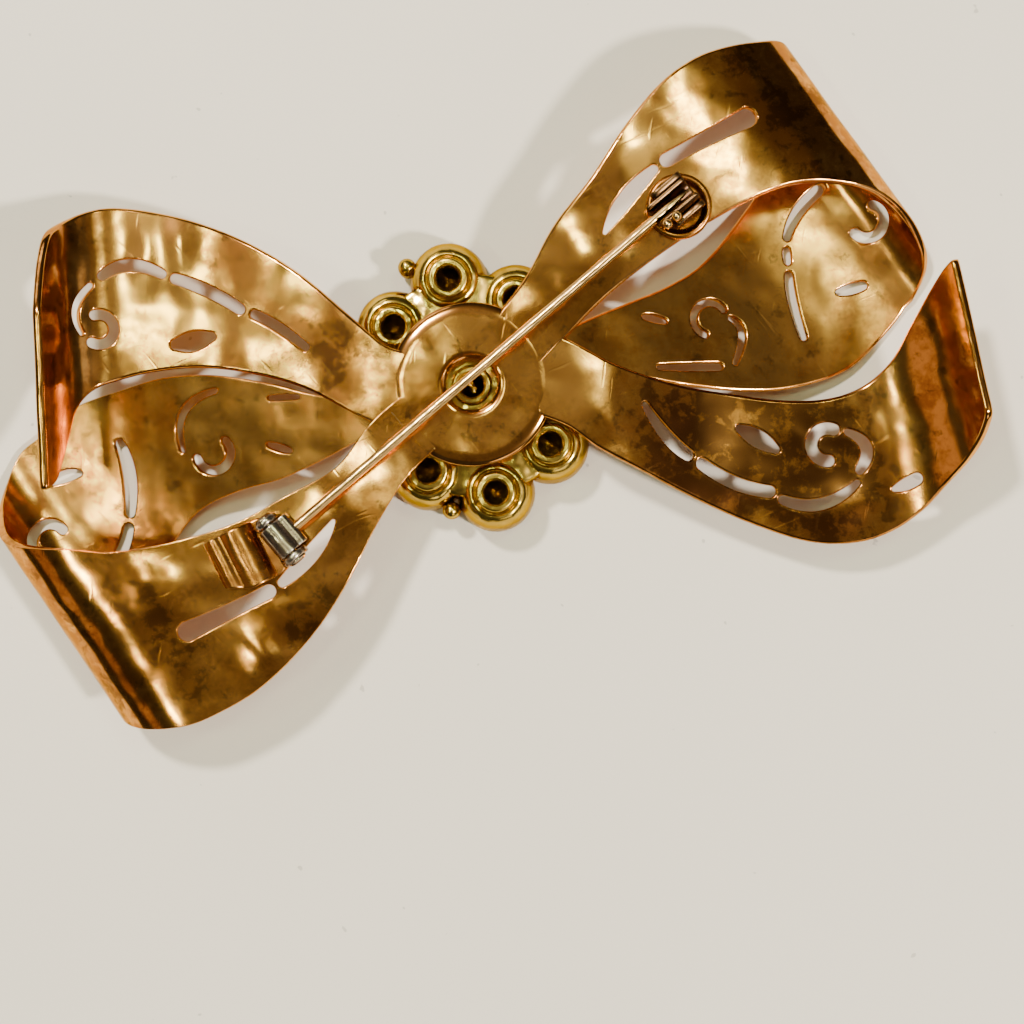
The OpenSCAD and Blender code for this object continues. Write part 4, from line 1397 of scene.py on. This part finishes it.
    def build(self) -> bpy.types.Object:
        """The bow as one piece."""
        shell = self.plate().build()
        for strip in (self.right_loop(), self.left_loop(), self.right_tail(), self.left_tail()):
            shell.join(strip.sheet().build())
        return shell.piece("bow_sheet", self.finish)


RING_LIP: Section = [(1.55, 5.33), (1.5, 5.43), (1.42, 5.49), (1.3, 5.5)]
BORE_LIP: Section = [(0.88, 5.2), (0.95, 5.38), (1.08, 5.47), (1.2, 5.6)]


@dataclass
class Rosette:
    """The cast rosette: eight round cups and an oval one on a web, seated under the plate."""

    cups: tuple[tuple[float, float], ...] = ((7.52, 143.3), (8.42, 102.6), (7.38, 62.8), (6.46, 8.9))
    oval_angle: float = 102.6
    stone_r: float = 2.45
    stone_a: float = 4.35
    stone_b: float = 3.0
    stone_gap: float = 0.08
    oval_wall: float = 0.47
    front_z: float = 0.75
    stubs: tuple[tuple[float, float], ...] = ((-5.05, 9.2), (-1.6, -9.6))
    finish: WornMetal = ROSETTE_METAL

    def places(self) -> list[tuple[float, float, float]]:
        """Place and direction of each cup, counted round the rosette."""
        made = []
        for half in (0.0, 180.0):
            for reach, angle in self.cups:
                a = math.radians(angle + half)
                made.append((reach * math.cos(a), reach * math.sin(a), angle))
        return made

    def cup_section(self) -> Section:
        """Section of a cup as a full body, with its raised ring and groove at the back."""
        return [
            (0.0, self.front_z), (2.95, self.front_z), (3.03, self.front_z + 0.06),
            (3.06, self.front_z + 0.18), (3.02, 1.4), (2.95, 2.3), (2.88, 3.1), (2.8, 3.7), (2.7, 4.15),
            (2.55, 4.5), (2.37, 4.78), (2.17, 4.97), (1.98, 5.07), (1.86, 5.08), (1.78, 5.0), (1.72, 4.88),
            (1.64, 4.86), (1.58, 4.93), (1.56, 5.1), *RING_LIP, (0.0, 5.5),
        ]

    def hollow_section(self) -> Section:
        """Section of what is cut out of a cup: its bore and the stone's pocket."""
        r = self.stone_r + self.stone_gap
        return [
            (0.0, -0.5), (r + 0.07, -0.5), (r + 0.07, 0.7), (r, 0.85), (r, 1.2), (r - 0.1, 1.25),
            (0.9, 3.3), (0.86, 3.6), *BORE_LIP, (1.2, 6.2), (0.0, 6.2),
        ]

    def oval(self, wall: float) -> Matrix:
        """From a round section of radius 1 to an oval round the middle stone."""
        stretch = Matrix.Diagonal((self.stone_a + wall, self.stone_b + wall, 1, 1))
        return turned(self.oval_angle) @ stretch

    @staticmethod
    def solid(section: Section, place: Matrix, sides: int = 64) -> bpy.types.Object:
        """A helper solid of revolution for the boolean steps."""
        mesh = lathe(section, sides)
        mesh.transform(place)
        return linked("helper", mesh)

    def added(self) -> list[bpy.types.Object]:
        """The web, the middle ring, the seat, the cups and the casting stubs."""
        web = [(0, 2.2), (8.45, 2.2), (8.6, 2.4), (8.6, 4.5), (8.5, 4.74), (8.25, 4.85), (0, 4.85)]
        ring = [(0, 4.9), (1.56, 4.9), *RING_LIP, (0, 5.5)]
        seat = [(2.2, 4.7), (4.2, 4.7), (4.2, 6.355), (2.2, 6.355)]
        stub = [
            (0, 1.0), (0.6, 1.0), (0.7, 1.1), (0.7, 3.2), (0.65, 3.45), (0.5, 3.7), (0.28, 3.84), (0, 3.88),
        ]
        middle = moved(0, 0, 0)
        made = [self.solid(web, middle, 128), self.solid(ring, middle), self.solid(seat, middle, 96)]
        made += [self.solid(self.cup_section(), moved(x, y, 0)) for x, y, _ in self.places()]
        return made + [self.solid(stub, moved(x, y, 0), 32) for x, y in self.stubs]

    def removed(self) -> list[bpy.types.Object]:
        """The bores and pockets of the cups, and those of the middle stone."""
        pocket = [(0, -0.5), (1.0, -0.5), (1.0, 1.2), (0.93, 1.22), (0.93, 3.25), (0, 3.25)]
        bore = [(0, 2.8), (0.9, 2.8), *BORE_LIP, (1.2, 6), (0, 6)]
        made = [self.solid(self.hollow_section(), moved(x, y, 0)) for x, y, _ in self.places()]
        return [*made, self.solid(pocket, self.oval(self.stone_gap)), self.solid(bore, moved(0, 0, 0))]

    def build(self) -> bpy.types.Object:
        """The rosette as one piece."""
        oval_cup = [
            (0.0, self.front_z), (0.97, self.front_z), (1.0, 0.9), (1.0, 4.6), (0.96, 4.95), (0.88, 5.1),
            (0.0, 5.1),
        ]
        body = self.solid(oval_cup, self.oval(self.oval_wall))
        self.combine(body, self.added(), "UNION")
        self.combine(body, self.removed(), "DIFFERENCE")
        mesh = body.data
        mesh.transform(Matrix.Scale(MM, 4))
        soften_by_angle(mesh, 38)
        bpy.data.objects.remove(body)
        return placed("rosette_casting", mesh, self.finish)

    @staticmethod
    def combine(body: bpy.types.Object, others: list[bpy.types.Object], operation: str) -> None:
        """Joins others to the body, or cuts them out of it, and removes them."""
        for other in others:
            step = body.modifiers.new("step", "BOOLEAN")
            step.operation = operation
            step.solver = "MANIFOLD"
            step.object = other
        depsgraph = bpy.context.evaluated_depsgraph_get()
        mesh = bpy.data.meshes.new_from_object(body.evaluated_get(depsgraph))
        body.modifiers.clear()
        body.data = mesh
        for other in others:
            bpy.data.objects.remove(other)


@dataclass
class CutStone:
    """A brilliant-cut stone with a foiled back, table down."""

    name: str
    place: Matrix
    half_length: float
    half_width: float
    crown: float = 1.0
    girdle: float = 0.15
    pavilion: float = 1.9
    table_share: float = 0.56
    star_share: float = 0.79
    lower_share: float = 0.42

    @staticmethod
    def ring(radius: float, height: float, count: int, offset: float) -> list[tuple[float, float, float]]:
        """Points round the stone."""
        turns = [offset + 2 * math.pi * k / count for k in range(count)]
        return [(radius * math.cos(a), radius * math.sin(a), height) for a in turns]

    def build(self) -> bpy.types.Object:
        """The stone as one piece, its crown clear and its pavilion foiled."""
        half_step = math.pi / 8
        top, cos = self.crown + self.girdle, math.cos(half_step)
        star_z = self.crown * (self.star_share * cos - self.table_share) / (1 - self.table_share)
        depth = top + self.pavilion
        lower_z = depth - self.pavilion * self.lower_share * cos
        points = (
            self.ring(self.table_share, 0.0, 8, 0.0)
            + self.ring(self.star_share, star_z, 8, half_step)
            + self.ring(1.0, self.crown, 16, 0.0)
            + self.ring(1.0, top, 16, 0.0)
            + self.ring(self.lower_share, lower_z, 8, half_step)
            + [(0.0, 0.0, depth)]
        )
        table, star, edge, back, lower, culet = 0, 8, 16, 32, 48, 56
        clear: list[list[int]] = [[table + 7 - k for k in range(8)]]
        foiled: list[list[int]] = []
        for k in range(8):
            nxt, prev = (k + 1) % 8, (k + 7) % 8
            g0, g1, g2 = 2 * k, 2 * k + 1, (2 * k + 2) % 16
            clear.append([table + k, table + nxt, star + k])
            clear.append([table + k, star + k, edge + g0, star + prev])
            clear.append([star + k, edge + g1, edge + g0])
            clear.append([star + k, edge + g2, edge + g1])
            foiled.append([culet, lower + k, back + g0, lower + prev])
            foiled.append([lower + k, back + g1, back + g0])
            foiled.append([lower + k, back + g2, back + g1])
        clear += [[edge + k, edge + (k + 1) % 16, back + (k + 1) % 16, back + k] for k in range(16)]
        mesh = bpy.data.meshes.new(self.name)
        mesh.from_pydata(points, [], clear + foiled)
        mesh.transform(Matrix.Diagonal((self.half_length, self.half_width, 1, 1)))
        bm = bmesh.new()
        bm.from_mesh(mesh)
        bmesh.ops.recalc_face_normals(bm, faces=bm.faces)
        bm.to_mesh(mesh)
        bm.free()
        mesh.transform(Matrix.Scale(MM, 4) @ self.place)
        made = placed(self.name, mesh, GLASS, FOIL)
        for index in range(len(clear), len(clear) + len(foiled)):
            mesh.polygons[index].material_index = 1
        return made


@dataclass(frozen=True)
class PinFrame:
    """The pin's own frame: X along the stem from hinge to catch, Y to its left."""

    angle: float = 40.56
    offset: float = 0.33
    stem_z: float = 9.8
    hinge_reach: float = 18.5
    catch_reach: float = 20.7
    tip_reach: float = 21.6

    def matrix(self) -> Matrix:
        """From the pin's frame to the brooch's."""
        return turned(self.angle) @ moved(0, self.offset, 0)

    def hinge(self, across: float = 0.0) -> Matrix:
        """From a frame at the rivet's middle, or to the left of it, to the brooch's."""
        return self.matrix() @ moved(-self.hinge_reach, across, self.stem_z)


PIN = PinFrame()


@dataclass
class HingeBracket:
    """The bracket on the left loop: a base, two ears that hold the rivet, and a hood."""

    metal_t: float = 0.5
    base_half: tuple[float, float] = (1.6, 1.92)
    ear_in: float = 1.42
    ear_r: float = 1.05
    ear_hole_r: float = 0.42
    ear_rise: float = 0.1
    hood_t: float = 0.4
    hood_start: tuple[float, float] = (0.6, 0.22)
    hood_skew: float = 14.0
    finish: WornMetal = FITTING_METAL

    def base(self) -> Sheet:
        """The base on the loop's back."""
        length, width = self.base_half
        return Sheet(
            outline=rectangle(-PIN.hinge_reach - length, -PIN.hinge_reach + length, -width, width),
            thickness=self.metal_t, start=(0.0, SEAT_Z + self.metal_t / 2), place=PIN.matrix(),
            rim=RimForm(reach=0.2), corner=0.2,
        )

    def ear(self, side: float) -> Sheet:
        """One ear, standing along the stem, with the rivet's hole."""
        low = SEAT_Z + self.ear_rise - PIN.stem_z
        a = np.linspace(0, math.pi, 25)
        top = np.stack([self.ear_r * np.cos(a), self.ear_r * np.sin(a)], axis=1)
        return Sheet(
            outline=np.vstack([top, [[-self.ear_r, low], [self.ear_r, low]]]),
            holes=[circle(self.ear_hole_r, sides=32)], thickness=self.metal_t,
            place=PIN.hinge(side * (self.ear_in + self.metal_t / 2)) @ turned(90, "X"),
            rim=RimForm(reach=0.15), corner=0.05, step=0.3,
        )

    def hood(self) -> Sheet:
        """The hood: the base's metal, turned up at the back and pressed into two ridges."""
        bends = (
            (3.9, 0.0), (1.1, 90.0), (0.25, 0.0), (0.75, 75.0), (0.45, 50.0), (0.12, 0.0),
            (0.35, -65.0), (0.15, 0.0), (2.0, 75.0), (0.5, 40.0), (0.5, 0.0),
        )
        length = sum(row[0] for row in bends)
        outline = [
            (0.1, -2.3), (length, -2.3), (length, 2.35), (7.3, 2.35), (6.0, 1.7), (5.0, 1.35),
            (4.0, 1.6), (3.2, 2.3), (0.1, 2.3),
        ]
        x, z = self.hood_start
        place = PIN.matrix() @ moved(-PIN.hinge_reach, 0, 0) @ turned(180 - self.hood_skew)
        return Sheet(
            outline=np.array(outline), bends=bends, thickness=self.hood_t, start=(x, SEAT_Z + z),
            place=place, rim=RimForm(reach=0.18), corner=0.3, step=0.3, soften=0.15,
        )

    def build(self) -> bpy.types.Object:
        """The bracket as one piece."""
        shell = self.base().build()
        shell.join(self.hood().build())
        return shell.piece("hinge_bracket_metal", self.finish)

    def ears(self) -> bpy.types.Object:
        """The two ears as one piece."""
        shell = self.ear(-1.0).build()
        shell.join(self.ear(1.0).build())
        return shell.piece("hinge_ears_metal", STEEL)


def lathe_piece(
    name: str, profile: Section, place: Matrix, finish: Finish, sides: int = 48, sharp: float = 45
) -> bpy.types.Object:
    """A solid of revolution as a piece, with edges sharper than some degrees kept."""
    mesh = lathe(profile, sides)
    mesh.transform(Matrix.Scale(MM, 4) @ place)
    soften_by_angle(mesh, sharp)
    return placed(name, mesh, finish)


@dataclass
class HingeRivet:
    """The rivet through the ears, with domed heads."""

    radius: float = 0.4
    head_r: float = 0.75
    head_h: float = 0.27
    ear_out: float = 1.92
    ear_gap: float = 0.02

    def build(self) -> bpy.types.Object:
        """The rivet as one piece."""
        r, h, end = self.radius, self.head_r, self.ear_out + self.ear_gap
        head = [(0.62 * h, end + 0.25), (0.85 * h, end + 0.19), (h, end + 0.08), (h, end)]
        upper = [(0.0, end + self.head_h), *head, (r, end)]
        lower = [(r, -end), *((a, -b) for a, b in reversed(head)), (0.0, -end - self.head_h)]
        place = PIN.hinge() @ turned(90, "X")
        return lathe_piece("hinge_rivet_metal", upper + lower, place, STEEL, 40)


@dataclass
class PinStem:
    """The pin stem with its tapered point, and the steel scroll that turns on the rivet."""

    radius: float = 0.36
    taper: float = 2.4
    barrel_l: float = 2.6
    barrel_t: float = 0.3

    def stem(self) -> bpy.types.Object:
        """The stem."""
        length = PIN.hinge_reach + PIN.tip_reach
        r = self.radius
        point = ((0.97, self.taper - 0.4), (0.85, 1.5), (0.66, 0.9), (0.42, 0.4), (0.2, 0.1), (0.0, 0.0))
        profile = [(0.0, 0.6), (r, 0.62)] + [(r, z) for z in np.linspace(1.2, length - self.taper, 24)]
        profile += [(r * share, length - back) for share, back in point]
        return lathe_piece("pin_stem_metal", profile, PIN.hinge() @ turned(90, "Y"), PIN_METAL, 32)

    def scroll(self) -> bpy.types.Object:
        """The barrel: a steel sheet rolled round the rivet, with a second ridge towards the stem."""
        bends = ((3.89, -262.0), (0.15, 0.0), (0.21, 60.0), (0.15, 0.0), (0.785, -150.0), (0.2, 0.0))
        total = sum(row[0] for row in bends)
        half = self.barrel_l / 2
        sheet = Sheet(
            outline=rectangle(0.0, total, -half, half), bends=bends, thickness=self.barrel_t,
            start=(0.45, -0.72), heading=212.0, place=PIN.hinge(), rim=RimForm(reach=0.12), corner=0.06,
            step=0.3, soften=0.08,
        )
        return sheet.build().piece("hinge_scroll", STEEL)


@dataclass
class SafetyCatch:
    """The catch: a round base with an open ring on it, and the sleeve that turns in the ring."""

    base_r: float = 2.45
    base_shift: tuple[float, float] = (-0.1, -0.4)
    housing_l: float = 2.9
    housing_r: float = 1.65
    housing_bore: float = 1.15
    housing_opening: tuple[float, float] = (-72.0, 75.0)
    sleeve_r: float = 1.1
    sleeve_bore: float = 0.75
    sleeve_opening: tuple[float, float] = (-30.0, 75.0)
    end_gap: float = 0.1
    lever_angle: float = -46.0
    lever_foot: float = 0.9
    lever_r: float = 1.3
    lever_l: float = 1.7
    lever_front: float = 0.85
    lever_t: float = 0.4
    knob_r: float = 0.4

    def ring(
        self, outer: float, bore: float, opening: tuple[float, float], start: float, end: float,
        corner: float,
    ) -> Sheet:
        """An open ring round the stem's line, between two places along it."""
        middle = (outer + bore) / 2
        turn = 360.0 - (opening[1] - opening[0])
        run = middle * math.radians(turn)
        a = math.radians(opening[1])
        return Sheet(
            outline=rectangle(0.0, run, -end, -start), bends=((run, -turn),), thickness=outer - bore,
            start=(middle * math.sin(a), middle * math.cos(a)), heading=-opening[1],
            place=PIN.matrix() @ moved(0, 0, PIN.stem_z) @ turned(90), rim=RimForm(reach=0.16),
            corner=corner, step=0.3,
        )

    def housing(self) -> bpy.types.Object:
        """The open ring that the sleeve turns in."""
        start = PIN.catch_reach - self.housing_l / 2
        end = start + self.housing_l
        ring = self.ring(self.housing_r, self.housing_bore, self.housing_opening, start, end, 0.4)
        # The housing takes the nearly black metal: painted shade in the catch's opening.
        return ring.build().piece("catch_housing_metal", CATCH_SHADE_METAL)

    def base(self) -> bpy.types.Object:
        """The round base, a shallow dish with a rolled rim."""
        r = self.base_r
        profile = [
            (0.0, 0.0), (r, 0.0), (r + 0.05, 0.12), (r + 0.03, 0.5), (r - 0.07, 0.65), (r - 0.25, 0.69),
            (r - 0.43, 0.62), (r - 0.53, 0.42), (r - 0.6, 0.27), (r - 0.75, 0.24), (0.0, 0.24),
        ]
        x, y = self.base_shift
        place = PIN.matrix() @ moved(PIN.catch_reach + x, y, SEAT_Z)
        return lathe_piece("catch_base_metal", profile, place, FITTING_METAL, 64, 60)

    def sleeve(self) -> list[bpy.types.Object]:
        """The sleeve with its lever, and its two knobs."""
        front = PIN.catch_reach - self.housing_l / 2 - self.lever_front
        end = PIN.catch_reach + self.housing_l / 2 - self.end_gap
        shell = self.ring(self.sleeve_r, self.sleeve_bore, self.sleeve_opening, front, end, 0.15).build()
        upright = turned(90, "X")
        lever = Sheet(
            outline=rectangle(0.0, self.lever_l, self.lever_foot, self.lever_r), thickness=self.lever_t,
            place=PIN.matrix() @ moved(front, 0, PIN.stem_z) @ turned(-self.lever_angle, "X") @ upright,
            rim=RimForm(reach=0.12), corner=0.06, step=0.2, loop_step=0.15,
        )
        shell.join(lever.build())
        # The sleeve takes the nearly black metal too: painted shade in the catch's opening.
        return [
            shell.piece("catch_sleeve_metal", CATCH_SHADE_METAL),
            self.knob("catch_near_knob", front + self.knob_r),
            self.knob("catch_far_knob", front + self.lever_l - self.knob_r),
        ]

    def knob(self, name: str, x: float) -> bpy.types.Object:
        """A round knob on the lever's edge."""
        r, a = self.knob_r, math.radians(self.lever_angle)
        turns = [math.pi * k / 14 for k in range(1, 14)]
        profile = [(0.0, -r), *((r * math.sin(t), -r * math.cos(t)) for t in turns), (0.0, r)]
        place = PIN.matrix() @ moved(x, self.lever_r * math.sin(a), PIN.stem_z + self.lever_r * math.cos(a))
        return lathe_piece(name, profile, place, PIN_METAL, 24)


WARM: Colour = (1.0, 0.93, 0.82)
GOLD: Colour = (0.86, 1.0, 0.66)
STRAW: Colour = (0.9, 1.0, 0.62)
YELLOW: Colour = (0.78, 1.0, 0.56)
AMBER: Colour = (1.0, 0.6, 0.34)
ROOM: Colour = (1.0, 0.94, 0.86)


@dataclass(frozen=True)
class SoftLight:
    """A round soft light that looks at the brooch.

    Its direction is given in degrees: azimuth seen from above, and off_vertical from straight up.
    Its reach and its size across are in metres, and its power in watts.
    """

    name: str
    azimuth: float
    off_vertical: float
    reach: float
    size: float
    watts: float
    colour: Colour

    def place(self) -> None:
        """Puts the light in the scene."""
        data = bpy.data.lights.new(self.name, "AREA")
        data.shape = "DISK"
        data.size = self.size
        data.energy = self.watts
        data.color = self.colour
        made = linked(self.name, data)
        a, b = math.radians(self.azimuth), math.radians(self.off_vertical)
        way = Vector((math.sin(b) * math.cos(a), math.sin(b) * math.sin(a), math.cos(b)))
        made.location = way * self.reach
        made.rotation_euler = way.to_track_quat("Z", "Y").to_euler()


LIGHTS = (
    SoftLight("key_light", 128.0, 29.5, 0.8, 0.07, 7.2, WARM),
    SoftLight("side_light", -26.0, 37.0, 0.8, 0.07, 7.6, WARM),
    SoftLight("right_light", 52.0, 18.5, 0.8, 0.1, 0.72, YELLOW),
    SoftLight("right_panel", 38.0, 17.0, 0.8, 0.22, 0.1, GOLD),
    SoftLight("low_light", 203.0, 23.0, 0.8, 0.065, 0.52, STRAW),
    SoftLight("left_light", 147.0, 9.5, 0.8, 0.065, 0.24, YELLOW),
    SoftLight("tail_light", 176.0, 28.0, 0.8, 0.085, 0.4, YELLOW),
    SoftLight("north_glow", 120.0, 12.0, 1.1, 0.55, 0.07, WARM),
    SoftLight("ceiling_glow", 60.0, 4.0, 1.1, 1.5, 0.36, AMBER),
    SoftLight("north_panel", 122.0, 62.0, 1.0, 0.4, 0.9, WARM),
    SoftLight("south_panel", -62.0, 62.0, 1.0, 0.4, 0.9, WARM),
    SoftLight("west_panel", 198.0, 62.0, 1.0, 0.5, 0.3, AMBER),
    SoftLight("east_panel", -4.0, 52.0, 1.0, 0.4, 0.2, WARM),
)


@dataclass
class Stage:
    """The table, the room and the camera."""

    camera_x: float = 3.08
    camera_y: float = -9.73
    camera_z: float = 207.0
    sensor: float = 36.0
    focal_pixels: float = 2631.6
    photo_pixels: float = 1024.0
    table_half: float = 0.9
    table_drop: float = 0.00006
    glow: float = 0.05

    def table(self) -> bpy.types.Object:
        """The table top, a hair below the brooch."""
        mesh = bpy.data.meshes.new("table_top")
        half, low = self.table_half, -self.table_drop
        corners = [(-half, -half, low), (half, -half, low), (half, half, low), (-half, half, low)]
        mesh.from_pydata(corners, [], [(0, 1, 2, 3)])
        return placed("table_top", mesh, TABLE)

    def room(self) -> None:
        """The soft lights and the room's faint glow."""
        for light in LIGHTS:
            light.place()
        world = bpy.data.worlds.new("room")
        world.use_nodes = True
        back = world.node_tree.nodes["Background"]
        back.inputs["Color"].default_value = rgb(ROOM)
        back.inputs["Strength"].default_value = self.glow
        bpy.context.scene.world = world

    def camera(self) -> None:
        """The camera, straight above, at the photo's distance."""
        data = bpy.data.cameras.new("camera")
        data.sensor_width = self.sensor
        data.lens = self.sensor * self.focal_pixels / self.photo_pixels
        data.clip_start = 0.01
        made = linked("camera", data)
        made.location = (self.camera_x * MM, self.camera_y * MM, self.camera_z * MM)
        bpy.context.scene.camera = made


def settle(piece: bpy.types.Object, body: Body, slot: Slot, *nodes: str) -> None:
    """Puts a piece on its body and hides the nodes that it stands for."""
    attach(piece, body.value)
    if nodes:
        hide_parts(*nodes)
    log.info("%s: %d faces", piece.name, len(piece.data.polygons))


def main() -> None:
    """Builds the brooch, its stage and its camera."""
    settle(Bow().build(), Body.BROOCH, Slot.BOW, "bow")
    rosette = Rosette()
    settle(rosette.build(), Body.BROOCH, Slot.ROSETTE, "rosette")
    stones = [CutStone("centre_crystal", turned(rosette.oval_angle), rosette.stone_a, rosette.stone_b)]
    nodes = ["centre_stone"]
    for i, (x, y, angle) in enumerate(rosette.places()):
        place = moved(x, y, 0) @ turned(angle)
        stones.append(CutStone(f"crystal_{i + 1}", place, rosette.stone_r, rosette.stone_r))
        nodes.append(f"stone_{i + 1}")
    for stone, node in zip(stones, nodes):
        settle(stone.build(), Body.BROOCH, Slot.STONE, node)
    bracket = HingeBracket()
    settle(bracket.build(), Body.BROOCH, Slot.FITTING, "hinge_bracket")
    settle(bracket.ears(), Body.BROOCH, Slot.FITTING)
    settle(HingeRivet().build(), Body.BROOCH, Slot.FITTING, "hinge_rivet")
    pin = PinStem()
    settle(pin.stem(), Body.PIN, Slot.PIN, "pin_stem")
    settle(pin.scroll(), Body.PIN, Slot.PIN)
    catch = SafetyCatch()
    settle(catch.housing(), Body.BROOCH, Slot.FITTING, "catch_housing")
    settle(catch.base(), Body.BROOCH, Slot.FITTING)
    sleeve, *knobs = catch.sleeve()
    settle(sleeve, Body.SLEEVE, Slot.FITTING, "catch_sleeve")
    for knob in knobs:
        settle(knob, Body.SLEEVE, Slot.FITTING)
    stage = Stage()
    stage.table()
    stage.room()
    stage.camera()


if __name__ == "__main__":
    logging.basicConfig(level=logging.INFO, format="%(name)s: %(message)s")
    main()
